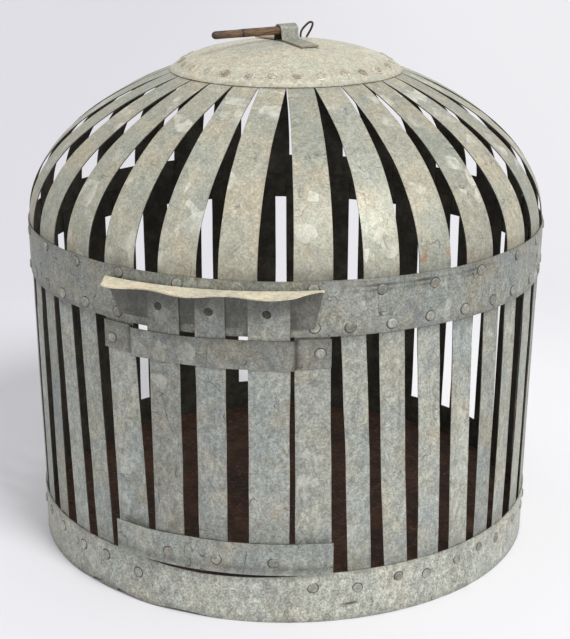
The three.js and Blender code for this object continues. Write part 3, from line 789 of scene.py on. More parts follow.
class Workshop:
    """Turns sheet, rivet and rod descriptions into objects that ride on their bodies."""

    def __init__(self, palette: Palette) -> None:
        """Keeps the palette that every piece is dressed from."""
        self.palette = palette

    def finish_piece(self, mesh: bpy.types.Mesh, body: str, nodes: Sequence[str],
                     slot: str) -> bpy.types.Object:
        """Links a mesh as a piece of the cage.

        Args:
            mesh: the finished mesh, which gives the piece its name.
            body: the CAD body that it rides on.
            nodes: the CAD nodes that it stands for.
            slot: not used.

        Returns:
            The object.
        """
        piece = bpy.data.objects.new(mesh.name, mesh)
        bpy.context.scene.collection.objects.link(piece)
        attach(piece, body)
        if nodes:
            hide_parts(*nodes)
        LOG.info("%s: %d faces on %s", mesh.name, len(mesh.polygons), body)
        return piece

    def sheet(self, spec: SheetSpec) -> bpy.types.Mesh:
        """Meshes a bent sheet: an outer face, an inner face and the cut edges between them.

        Args:
            spec: the sheet's shape, thickness, marks and finishes.

        Returns:
            The mesh, with the marks that the finishes read.
        """
        columns, rows = len(spec.across), len(spec.along)
        outer, inner, marks = [], [], []
        for v in spec.along:
            for u in spec.across:
                point, normal = spec.place(u, v)
                outer.append(point)
                inner.append(point - normal * spec.thickness)
                side = 0.0 if spec.closed else float(u in (spec.across[0], spec.across[-1]))
                end = float(v in (spec.along[0], spec.along[-1]))
                marks.append((max(side, end), spec.grime_and_shade(u, v), spec.rust(u, v)))
        wide = columns if spec.closed else columns - 1
        count = len(outer)
        faces, kinds = [], []
        for row in range(rows - 1):
            for column in range(wide):
                a = row * columns + column
                b = row * columns + (column + 1) % columns
                faces.append((a, b, b + columns, a + columns))
                faces.append((a + count, a + columns + count, b + columns + count, b + count))
                kinds += [0, 1]
        for column in range(wide):
            nxt = (column + 1) % columns
            top = (rows - 1) * columns
            faces.append((column, column + count, nxt + count, nxt))
            faces.append((top + column, top + nxt, top + nxt + count, top + column + count))
            kinds += [spec.cut, spec.cut]
        if not spec.closed:
            for row in range(rows - 1):
                a, b = row * columns, (row + 1) * columns
                faces.append((a, b, b + count, a + count))
                a, b = a + columns - 1, b + columns - 1
                faces.append((a, a + count, b + count, b))
                kinds += [spec.cut, spec.cut]
        mesh = bpy.data.meshes.new(spec.name)
        mesh.from_pydata(outer + inner, [], faces)
        mesh.polygons.foreach_set("material_index", kinds)
        mesh.materials.append(self.palette.get(spec.face))
        mesh.materials.append(self.palette.get(spec.back))
        self.write_marks(mesh, [(spec.tone, *m) for m in marks * 2])
        self.shade(mesh)
        return mesh

    def write_marks(self, mesh: bpy.types.Mesh, rows: Sequence[Marks]) -> None:
        """Stores tone, edge, dirt and rust at each point of a mesh; the dirt mark also carries painted
        shade.

        Args:
            mesh: the mesh to mark.
            rows: the four marks of each point.
        """
        for index, name in enumerate(("tone", "edge", "grime_and_shade", "rust")):
            store = mesh.attributes.new(name, "FLOAT", "POINT")
            store.data.foreach_set("value", [row[index] for row in rows])

    def shade(self, mesh: bpy.types.Mesh, crease: float = 38.0) -> None:
        """Shades a mesh smooth, with creases kept sharp.

        Args:
            mesh: the mesh to shade.
            crease: the angle in degrees above which an edge stays sharp.
        """
        mesh.polygons.foreach_set("use_smooth", [True] * len(mesh.polygons))
        mesh.validate()
        mesh.update()
        mesh.set_sharp_from_angle(angle=math.radians(crease))

    def turned(self, name: str, rings: Sequence[Sequence[Vector]], finish: Any,
               grime_and_shade: Callable[[int], float] = lambda ring: 0.0) -> bpy.types.Mesh:
        """Skins a run of rings and closes both ends.

        Args:
            name: the mesh's name.
            rings: points of each ring, all of one count, going round the same way.
            finish: the finish of the whole mesh.
            grime_and_shade: how dirty each ring is.

        Returns:
            The mesh.
        """
        sides = len(rings[0])
        points = [p for ring in rings for p in ring]
        faces = []
        for r in range(len(rings) - 1):
            for i in range(sides):
                j = (i + 1) % sides
                faces.append((r * sides + i, r * sides + j, (r + 1) * sides + j, (r + 1) * sides + i))
        last = (len(rings) - 1) * sides
        faces += [tuple(reversed(range(sides))), tuple(range(last, last + sides))]
        mesh = bpy.data.meshes.new(name)
        mesh.from_pydata(points, [], faces)
        mesh.materials.append(self.palette.get(finish))
        dirt = [grime_and_shade(r) for r in range(len(rings)) for _ in range(sides)]
        self.write_marks(mesh, [(0.5, 0.0, dirty, 0.0) for dirty in dirt])
        self.shade(mesh)
        return mesh


# ---------------------------------------------------------------- rivets


@dataclass(frozen=True)
class Rivet:
    """One rivet head: where it sits, which way it faces, its size and how rusty its middle is."""

    point: Vector
    normal: Vector
    radius: float = 4.1 * MM
    height: float = 1.15 * MM
    rust: float = 0.0


@dataclass
class RivetSet:
    """All the rivet heads on one piece, in one mesh of domed, slightly dished heads."""

    name: str
    body: str
    slot: str
    rivets: list[Rivet]
    face: Finish = Finish.RIVET
    # the skirt's finish: by default stain and painted contact shadow
    ring: Finish = Finish.STAIN_AND_SHADE
    sides: int = 20
    skirt: float = 1.2

    PROFILE = ((1.0, 0.1), (1.0, 0.42), (0.94, 0.8), (0.82, 0.98), (0.62, 1.0), (0.42, 0.9), (0.2, 0.84))
    DISH = 0.82
    SKIRT_RINGS = 2
    LEAN = 0.05
    OUT_OF_ROUND = 0.025
    CREASE = 50.0

    def build(self, shop: Workshop) -> None:
        """Meshes the heads and puts them on their body.

        Args:
            shop: the workshop that makes the pieces.
        """
        rng = random.Random(len(self.rivets) * 31 + len(self.name))
        points, faces, kinds, marks = [], [], [], []
        for rivet in self.rivets:
            more, rows = self.head(rivet, rng)
            sheet, slots = self.skin(len(points))
            points += more
            marks += rows
            faces += sheet
            kinds += slots
        mesh = bpy.data.meshes.new(self.name)
        mesh.from_pydata(points, [], faces)
        mesh.polygons.foreach_set("material_index", kinds)
        mesh.materials.append(shop.palette.get(self.face))
        mesh.materials.append(shop.palette.get(self.ring))
        shop.write_marks(mesh, marks)
        shop.shade(mesh, self.CREASE)
        shop.finish_piece(mesh, self.body, (), self.slot)

    @property
    def rings(self) -> list[tuple[float, float]]:
        """The head's rings as shares of its radius and height: the skirt (stain and painted shadow), then
        the dome.
        """
        return [(self.skirt, -0.15), (self.skirt * 0.97, 0.06), *self.PROFILE]

    def head(self, rivet: Rivet, rng: random.Random) -> tuple[list[Vector], list[Marks]]:
        """Places one head's points, a little out of round and off square as hammering leaves it.

        Args:
            rivet: the head's place, size and rust.
            rng: where the head's small faults come from.

        Returns:
            The points, ring by ring with the middle last, and the marks of each point.
        """
        tone = rng.random()
        turn = rivet.normal.to_track_quat("Z", "Y").to_matrix()
        tilt_x = Matrix.Rotation(rng.uniform(-self.LEAN, self.LEAN), 3, "X")
        tilt_y = Matrix.Rotation(rng.uniform(-self.LEAN, self.LEAN), 3, "Y")
        lean = tilt_x @ tilt_y
        wide, deep = rng.uniform(0.95, 1.05) * rivet.radius, rng.uniform(0.93, 1.03) * rivet.radius
        points, marks = [], []
        for share, level in self.rings:
            rim = 0.85 < share < 1.01
            rust = rivet.rust * (1.0 if rim else clamp(1.1 - share))
            for i in range(self.sides):
                a = 2 * math.pi * i / self.sides
                out = share * (1 + self.OUT_OF_ROUND * math.sin(2 * a + tone * 9))
                local = Vector((wide * out * math.cos(a), deep * out * math.sin(a), level * rivet.height))
                points.append(rivet.point + turn @ (lean @ local))
                marks.append((tone, 0.4 * rim, 0.0, rust))
        points.append(rivet.point + turn @ (lean @ Vector((0, 0, self.DISH * rivet.height))))
        marks.append((tone, 0.0, 0.0, rivet.rust))
        return points, marks

    def skin(self, start: int) -> tuple[list[tuple[int, ...]], list[int]]:
        """Faces of one head.

        Args:
            start: the number of the head's first point in the mesh.

        Returns:
            The faces, and the material slot of each: 0 for the head, 1 for the skirt.
        """
        sides, count = self.sides, len(self.rings)
        top = start + (count - 1) * sides
        faces, kinds = [], []
        for r in range(count - 1):
            for i in range(sides):
                j = (i + 1) % sides
                a, b = start + r * sides, start + (r + 1) * sides
                faces.append((a + i, a + j, b + j, b + i))
                kinds.append(1 if r < self.SKIRT_RINGS else 0)
        for i in range(sides):
            faces.append((top + i, top + (i + 1) % sides, top + sides))
            kinds.append(0)
        faces.append(tuple(start + i for i in reversed(range(sides))))
        kinds.append(1)
        return faces, kinds


# ---------------------------------------------------------------- wall


@dataclass
class Wall:
    """The upright slats behind the hoops and the two posts beside the door.

    width_play is a share, sway is in degrees, hidden_from is the share of a slat's height above
    which it lies behind the middle hoop, and pale gives the tone of the slats that stand out.
    """

    shell: Shell
    width_play: float = 0.06
    edge_wave: float = 0.35 * MM
    bow: float = 0.5 * MM
    sway: float = 0.35
    cupping: float = 0.5 * MM
    hidden_from: float = 0.85
    foot_dirt: float = 22 * MM
    belt_shadow: float = 6 * MM
    pale: dict[str, float] = field(default_factory=lambda: {
        "wall_slat_02": 0.75, "wall_slat_03": 1.0, "wall_slat_04": 0.8, "right_post": 0.65})

    def build(self, shop: Workshop) -> None:
        """Makes every slat and both posts.

        Args:
            shop: the workshop that makes the pieces.
        """
        names = self.shell.like("wall_slat_")
        for index, node in enumerate(names, 1):
            self.slat(shop, node, index, self.width_play)
        self.slat(shop, "left_post", len(names) + 1, 0.0)
        self.slat(shop, "right_post", len(names) + 2, 0.0)

    def slat(self, shop: Workshop, node: str, seed: int, play: float) -> None:
        """Makes one slat from its CAD node's corners, with hand-cut edges and a slight bow.

        Args:
            shop: the workshop that makes the pieces.
            node: the CAD node that the slat stands for.
            seed: picks the slat's small faults.
            play: how far its width may differ; 0 for a post, which only bows inwards.
        """
        rng = random.Random(seed * 97)
        head, foot = sheet_end(node, True), sheet_end(node, False)
        grow = 1 + rng.uniform(-play, play)
        sway = rng.uniform(-self.sway, self.sway) if play else 0.0
        bow = (rng.uniform(-0.4, 1.0) if play else -0.5) * self.bow

        def place(u: float, v: float) -> Point:
            """A point on the slat's outer face.

            Args:
                u: place across the sheet, 0 to 1.
                v: place up the sheet, 0 to 1.

            Returns:
                The point and the outward normal there.
            """
            z = mix(foot.z, head.z, v)
            left, right = mix(foot.left, head.left, v), mix(foot.right, head.right, v)
            middle, half = (left + right) / 2 + sway * math.sin(math.pi * v), (right - left) / 2 * grow
            free = math.sin(math.pi * clamp(v)) ** 0.5
            ragged = math.degrees(self.edge_wave / self.shell.wall(z))
            left = middle - half + ragged * free * wobble(seed + 0.1, v, 0.16)
            right = middle + half + ragged * free * wobble(seed + 0.6, v, 0.19)
            out = bow + 0.25 * MM * wobble(seed + 0.3, v, 0.3) - self.cupping * bump(u, 0.5, 0.5)
            out = min(free * out, 0.0) if v > self.hidden_from else free * out
            return self.shell.on_wall(mix(left, right, u), z, out)

        def grime_and_shade(u: float, v: float) -> float:
            """Dirt at the feet, where the slat meets the bottom hoop, and painted shadow under the middle
            hoop.

            Args:
                u: place across the sheet, 0 to 1.
                v: place up the sheet, 0 to 1.

            Returns:
                How dark the sheet is made there, 0 for clean.
            """
            z = mix(foot.z, head.z, v)
            low = 1 - smooth(z, self.shell.foot_top, self.shell.foot_top + self.foot_dirt)
            # painted contact shadow of the middle hoop on the slat
            high = smooth(z, self.shell.belt_bottom - self.belt_shadow, self.shell.belt_bottom)
            return 0.4 * low + 0.6 * high

        tone = self.pale.get(node, rng.uniform(0.25, 0.75))
        mesh = shop.sheet(SheetSpec(f"{node}_sheet", place, stops(4, 0.06), stops(28), self.shell.sheet,
                                    Finish.WALL, tone=tone, grime_and_shade=grime_and_shade))
        shop.finish_piece(mesh, "cage", (node,), "wall_zinc")


@dataclass
class Hoops:
    """The bottom and middle hoops, each a strip whose ends lap, with their rivets.

    A dent or dip is (angle, half width in degrees, depth), the slit is (angle, half width), and
    door_pass holds the angles between which the door slides over the middle hoop.
    """

    shell: Shell
    dome: "Dome"
    lap: float = 6.0
    belt_lap_at: float = -17.0
    foot_lap_at: float = 150.0
    foot_rivet_z: float = 30 * MM
    slat_rivet_rise: float = 8 * MM
    rib_rivet_drop: float = 6 * MM
    right_drop: float = 3.6 * MM
    columns: int = 480
    foot_dents: tuple[tuple[float, float, float], ...] = ((-43.0, 13.0, 3.4 * MM), (-22.0, 9.0, 2.3 * MM))
    door_dip: tuple[float, float, float] = (-15.0, 25.0, 4.4 * MM)
    slit: tuple[float, float] = (14.0, 3.0)
    door_pass: tuple[float, float] = (-41.0, 10.0)
    head_height: float = 1.15 * MM
    flat_height: float = 0.75 * MM

    def build(self, shop: Workshop) -> None:
        """Makes both hoops and their rivets.

        Args:
            shop: the workshop that makes the pieces.
        """
        shell = self.shell
        self.strip(shop, "bottom_hoop", 0.0, shell.foot_top, self.foot_lap_at, 5)
        self.strip(shop, "mid_hoop", shell.belt_bottom, shell.belt_top, self.belt_lap_at, 8)
        names = self.shell.like("wall_slat_") + ["left_post", "right_post"]
        rng = random.Random(4)
        low, belt = [], []
        for name in names:
            foot, head = sheet_end(name, False), sheet_end(name, True)
            z = self.foot_rivet_z + rng.uniform(-3, 3) * MM
            share = (z - foot.z) / (head.z - foot.z)
            middle = mix(foot.left + foot.right, head.left + head.right, share) / 2
            low.append(self.head(middle + rng.uniform(-0.6, 0.6), z, rng))
            z = shell.belt_bottom + self.slat_rivet_rise + rng.uniform(-1, 1) * MM
            belt.append(self.head((head.left + head.right) / 2 + rng.uniform(-0.5, 0.5), z, rng))
        for k in range(self.dome.count):
            angle = self.dome.foot_angle(k) + rng.uniform(-0.3, 0.3)
            drop = self.rib_rivet_drop + self.right_drop * bump(signed(angle), 32, 34)
            belt.append(self.head(angle, shell.belt_top - drop + rng.uniform(-0.8, 0.8) * MM, rng))
        RivetSet("bottom_hoop_rivets", "cage", "wall_zinc", low).build(shop)
        RivetSet("mid_hoop_rivets", "cage", "wall_zinc", belt).build(shop)

    def head(self, angle: float, z: float, rng: random.Random) -> Rivet:
        """One rivet head on a hoop; those that the door passes over are flatter.

        Args:
            angle: where the head sits round the hoop.
            z: its height.
            rng: where its rust comes from.

        Returns:
            The rivet head.
        """
        point, normal = self.shell.on_wall(angle, z, self.shell.hoop_out)
        flat = self.door_pass[0] < signed(angle) < self.door_pass[1]
        height = self.flat_height if flat else self.head_height
        return Rivet(point, normal, height=height, rust=0.42 if rng.random() < 0.15 else 0.1)

    def strip(self, shop: Workshop, node: str, bottom: float, top: float, lap_at: float, seed: int) -> None:
        """Makes one hoop as a strip that starts under its own end.

        Args:
            shop: the workshop that makes the pieces.
            node: the CAD node that the hoop stands for.
            bottom: height of its lower edge.
            top: height of its upper edge.
            lap_at: angle at which its ends lap.
            seed: picks its small faults.
        """
        shell = self.shell
        is_foot = node == "bottom_hoop"

        def place(u: float, v: float) -> Point:
            """A point on the hoop's outer face, going round from the lap's outer end.

            Args:
                u: place round the strip, 0 to 1.
                v: place up the strip, 0 to 1.

            Returns:
                The point and the outward normal there.
            """
            angle = lap_at + u * (360 + self.lap)
            turn = signed(angle)
            over = 1 - smooth(u * (360 + self.lap), self.lap, self.lap + 3)
            low = bottom + 0.5 * MM * (1 + wobble(seed, turn, 21)) * (1 if is_foot else 0.8)
            high = top - 0.45 * MM * (1 + wobble(seed + 2, turn, 17))
            dent = 0.3 * MM * wobble(seed + 4, turn, 12) * math.sin(math.pi * v)
            if is_foot:
                low += sum(deep * bump(turn, at, reach) for at, reach, deep in self.foot_dents)
                high -= self.door_dip[2] * bump(turn, *self.door_dip[:2])
                dent += 0.8 * MM * bump(turn, *self.foot_dents[0][:2]) * (v - 1)
            out = shell.hoop_out + over * 0.85 * shell.sheet + dent
            return shell.on_wall(angle, mix(low, high, v), out)

        def grime_and_shade(u: float, v: float) -> float:
            """Dirt along the edges and in a few stains round the strip, and painted shade on the left side.

            Args:
                u: place round the strip, 0 to 1.
                v: place up the strip, 0 to 1.

            Returns:
                How dark the sheet is made there, 0 for clean.
            """
            turn = lap_at + u * (360 + self.lap)
            edge = max(bump(v, 0.0, 0.16), 0.6 * bump(v, 1.0, 0.14))
            # left: painted shade on the cage's left side, away from the key light
            left = 0.18 * bump(signed(turn), -70, 60)
            stain = 0.2 * clamp(wobble(seed + 6, turn, 9) - 0.25)
            return 0.3 * edge + left + stain + lines(signed(turn), v)

        def lines(turn: float, v: float) -> float:
            """The dark slit in the foot, or the belt's lap and the scored lines under its upper edge.

            Args:
                turn: angle about the cage's axis.
                v: place up the strip, 0 to 1.

            Returns:
                How dirty the sheet is there, 0 for clean.
            """
            if is_foot:
                at, half = self.slit
                return 1.6 * bump(turn, at, half) * bump(v, 0.33 + 0.012 * (turn - at), 0.045)
            run = smooth(turn, 8, 16) * (1 - smooth(turn, 42, 52))
            scored = 0.9 * bump(v, 0.875, 0.05) + 0.6 * bump(v, 0.79, 0.05)
            lap_line = 0.3 * bump(turn, self.belt_lap_at, 0.9)
            return run * scored * (0.7 + 0.5 * wobble(31, turn, 5)) + lap_line

        face = Finish.FOOT if is_foot else Finish.BELT
        spec = SheetSpec(f"{node}_strip", place, stops(self.columns), stops(24, 0.012), shell.sheet, face,
                         cut=0, grime_and_shade=grime_and_shade)
        mesh = shop.sheet(spec)
        shop.finish_piece(mesh, "cage", (node,), "wall_zinc")


# ---------------------------------------------------------------- dome


@dataclass
class Dome:
    """The ribs, each its own strap, and the cap that they tuck under.

    A rib runs from its lap on the hoop (up to foot_share of its length) over the dome (up to
    dome_share) to its end under the cap. foot_shifts moves single ribs' feet by degrees, and
    rust_spots holds (place across, place along, strength) for the ribs that have rust.
    """

    shell: Shell
    count: int = 28
    per_fan: int = 4
    first: float = -8.1
    twist: float = 1.9
    width: float = 31 * MM
    top_clearance: float = 1.2 * MM
    lap: float = 20 * MM
    width_play: float = 0.05
    cap_rivet_inset: float = 10.6 * MM
    cap_rivet_turn: float = 0.9
    cap_sides: int = 112
    foot_share: float = 0.08
    dome_share: float = 0.92
    ragged: float = 0.45 * MM
    cupping: float = 0.5 * MM
    lift: float = 0.25 * MM
    foot_shifts: dict[int, float] = field(default_factory=lambda: {
        0: -1.0, 1: 0.6, 2: 1.2, 3: 0.4, 4: -0.3, 5: 0.3, 11: -1.0, 12: -3.8, 13: -4.0, 14: -3.0, 15: -1.8,
        16: -2.2, 17: -4.5, 18: -5.5, 19: -5.5, 20: -5.0, 21: -4.0, 22: -3.0, 23: -2.0, 24: -1.1, 25: -0.6,
        26: -1.1, 27: -0.7})
    rust_spots: dict[int, tuple[tuple[float, float, float], ...]] = field(default_factory=lambda: {
        2: ((0.9, 0.135, 0.6), (0.1, 0.13, 0.52)), 4: ((0.05, 0.115, 0.7),), 9: ((0.5, 0.14, 0.65),),
        3: ((0.12, 0.115, 0.8), (0.9, 0.125, 0.8), (0.3, 0.165, 0.62), (0.35, 0.27, 0.56)),
        13: ((0.2, 0.3, 0.6),), 16: ((0.8, 0.12, 0.75), (0.4, 0.15, 0.6)), 22: ((0.3, 0.13, 0.65),)})

    def build(self, shop: Workshop) -> None:
        """Makes the ribs, the cap and the cap's rivets.

        Args:
            shop: the workshop that makes the pieces.
        """
        for index in range(self.count):
            self.rib(shop, index)
        self.cap(shop)

    def foot_angle(self, index: int) -> float:
        """Angle of a rib's foot."""
        return self.first + 360 / self.count * index + self.foot_shifts.get(index, 0.0)

    def profile(self, v: float) -> tuple[float, float, float, float]:
        """Radius, height and direction of a rib's outer face, from its foot (0) to its end (1).

        Args:
            v: place along the rib from its foot, 0 to 1.

        Returns:
            Radius, height, and the two parts of the unit tangent.
        """
        shell = self.shell
        if v < self.foot_share:
            z = shell.belt_top - self.lap * (1 - v / self.foot_share)
            return shell.wall(z), z, 0.0, 1.0
        if v <= self.dome_share:
            return bezier(shell.dome_curve, (v - self.foot_share) / (self.dome_share - self.foot_share))
        share = (v - self.dome_share) / (1 - self.dome_share)
        r, z, dr, dz = bezier(shell.cap_curve, shell.cap_at(shell.cap_radius - shell.rib_end_inset * share))
        return r - dz * shell.hoop_out, z + dr * shell.hoop_out, dr, dz

    def rib(self, shop: Workshop, index: int) -> None:
        """Makes one rib: it narrows towards the cap, leans and has hand-cut edges.

        Args:
            shop: the workshop that makes the pieces.
            index: the rib's number, from 0.
        """
        shell, rng = self.shell, random.Random(index * 53 + 7)
        widen = 1 + rng.uniform(-self.width_play, self.width_play)
        head_angle = self.first + 360 / self.count * index + self.twist
        wide_r = shell.wall(shell.belt_top)
        top_width = 2 * math.pi * shell.cap_radius / self.count - self.top_clearance
        bow = rng.uniform(-0.8, 0.8)

        def place(u: float, v: float) -> Point:
            """A point on the rib's outer face.

            Args:
                u: place across the rib, 0 to 1.
                v: place along it from its foot, 0 to 1.

            Returns:
                The point and the outward normal there.
            """
            r, z, dr, dz = self.profile(v)
            share = clamp((wide_r - r) / (wide_r - shell.cap_radius))
            free = bump(share, 0.45, 0.6)
            under_cap = top_width * r / shell.cap_radius
            width = mix(self.width * widen, top_width, share) if r > shell.cap_radius else under_cap
            left = -width / 2 + self.ragged * free * wobble(index + 0.2, v, 0.12)
            right = width / 2 + self.ragged * free * wobble(index + 0.7, v, 0.14)
            middle = mix(self.foot_angle(index), head_angle, share) + bow * free
            angle = middle + math.degrees(mix(left, right, u) / r)
            normal = around(angle, dz, -dr).normalized()
            curl = self.cupping * (wobble(index + 0.4, v, 0.2) - bump(u, 0.5, 0.55))
            return around(angle, r, z) + normal * (curl + self.lift) * free, normal

        def grime_and_shade(u: float, v: float) -> float:
            """Dirt where the rib meets the hoop and the cap."""
            return 0.5 * bump(v, self.foot_share, 0.045) + 0.35 * bump(v, self.dome_share, 0.03)

        def rust(u: float, v: float) -> float:
            """Rust in spots near the foot of a few ribs."""
            spots = self.rust_spots.get(index, ())
            return sum(deep * bump(u, across, 0.4) * bump(v, up, 0.045) for across, up, deep in spots)

        fan = f"rib_fan_{index // self.per_fan + 1:02d}"
        mesh = shop.sheet(SheetSpec(f"rib_{index + 1:02d}", place, stops(4, 0.045), stops(44), shell.sheet,
                                    Finish.DOME, tone=rng.uniform(0.35, 0.7), grime_and_shade=grime_and_shade, rust=rust))
        shop.finish_piece(mesh, "cage", (fan,), "dome_zinc")

    def cap(self, shop: Workshop) -> None:
        """Makes the cap, with a slightly hammered face, and its ring of rivets.

        Args:
            shop: the workshop that makes the pieces.
        """
        shell = self.shell

        def place(u: float, v: float) -> Point:
            """A point on the cap's outer face; v runs from the edge to the crown.

            Args:
                u: place round the cap, 0 to 1.
                v: place from the edge to the crown, 0 to 1.

            Returns:
                The point and the outward normal there.
            """
            radius = mix(shell.cap_radius, 0.4 * MM, v)
            angle = 360 * u
            point, normal = shell.on_cap(angle, radius)
            beaten = 0.35 * MM * noise.noise(point * 60) + 0.12 * MM * noise.noise(point * 170)
            return point + normal * (beaten - 0.35 * MM) * clamp((1 - v) * 3), normal

        def grime_and_shade(u: float, v: float) -> float:
            """Dirt round the rivet ring and at the rim."""
            ring = bump(v, self.cap_rivet_inset / shell.cap_radius, 0.07)
            return 0.22 * ring * (0.6 + 0.6 * wobble(3, u * 360, 14)) + 0.3 * bump(v, 0.0, 0.025)

        across = [i / self.cap_sides for i in range(self.cap_sides)]
        mesh = shop.sheet(SheetSpec("cap_disc", place, across, stops(26, 0.012), shell.sheet, Finish.CAP,
                                    tone=0.55, closed=True, grime_and_shade=grime_and_shade))
        shop.finish_piece(mesh, "cage", ("cap",), "dome_zinc")
        rng = random.Random(11)
        heads = []
        for k in range(self.count):
            angle = self.first + self.cap_rivet_turn + 360 / self.count * k + rng.uniform(-0.8, 0.8)
            radius = shell.cap_radius - self.cap_rivet_inset + rng.uniform(-1, 1) * MM
            point, normal = shell.on_cap(angle, radius)
            point -= normal * 0.3 * MM
            heads.append(Rivet(point, normal, 3.5 * MM, 0.8 * MM, rng.uniform(0.25, 0.75)))
        rivets = RivetSet("cap_rivets", "cage", "dome_zinc", heads, Finish.CAP_RIVET, Finish.HALO,
                          skirt=1.45)
        rivets.build(shop)


@dataclass
class FloorPan:
    """The rusted floor, a shallow pan with its rim turned down inside the slats."""

    shell: Shell
    sides: int = 120
    bend: float = 1.6 * MM
    rings: int = 16
    bend_steps: int = 4
    sag: float = 0.5 * MM

    def build(self, shop: Workshop) -> None:
        """Makes the pan as one sheet from its centre, over the rim and down.

        Args:
            shop: the workshop that makes the pieces.
        """
        low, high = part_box("floor_plate")
        radius, bend = high.x, self.bend
        path = [(radius * k / self.rings + 0.3 * MM, high.z, 0.0) for k in range(self.rings - 1)]
        for k in range(self.bend_steps + 1):
            turn = math.pi / 2 * k / self.bend_steps
            out, down = bend * (1 - math.sin(turn)), bend * (1 - math.cos(turn))
            path.append((radius - out, high.z - down, turn))
        path.append((radius, low.z, math.pi / 2))

        def place(u: float, v: float) -> Point:
            """A point on the pan's upper and outer face.

            Args:
                u: place round the pan, 0 to 1.
                v: place from the rim's lower edge to the middle, 0 to 1.

            Returns:
                The point and the outward normal there.
            """
            r, z, turn = path[len(path) - 1 - round(v * (len(path) - 1))]
            if turn == 0.0:
                z += self.sag * (noise.noise(Vector((r * 9, u * 6, 0.0))) - 0.6)
            normal = around(360 * u, math.sin(turn), math.cos(turn)).normalized()
            return around(360 * u, r, z), normal

        across = [i / self.sides for i in range(self.sides)]
        along = [k / (len(path) - 1) for k in range(len(path))]
        mesh = shop.sheet(SheetSpec("floor_pan", place, across, along, self.shell.sheet, Finish.PAN,
                                    Finish.PAN, closed=True))
        shop.finish_piece(mesh, "cage", ("floor_plate",), "rusty_sheet")


# ---------------------------------------------------------------- door


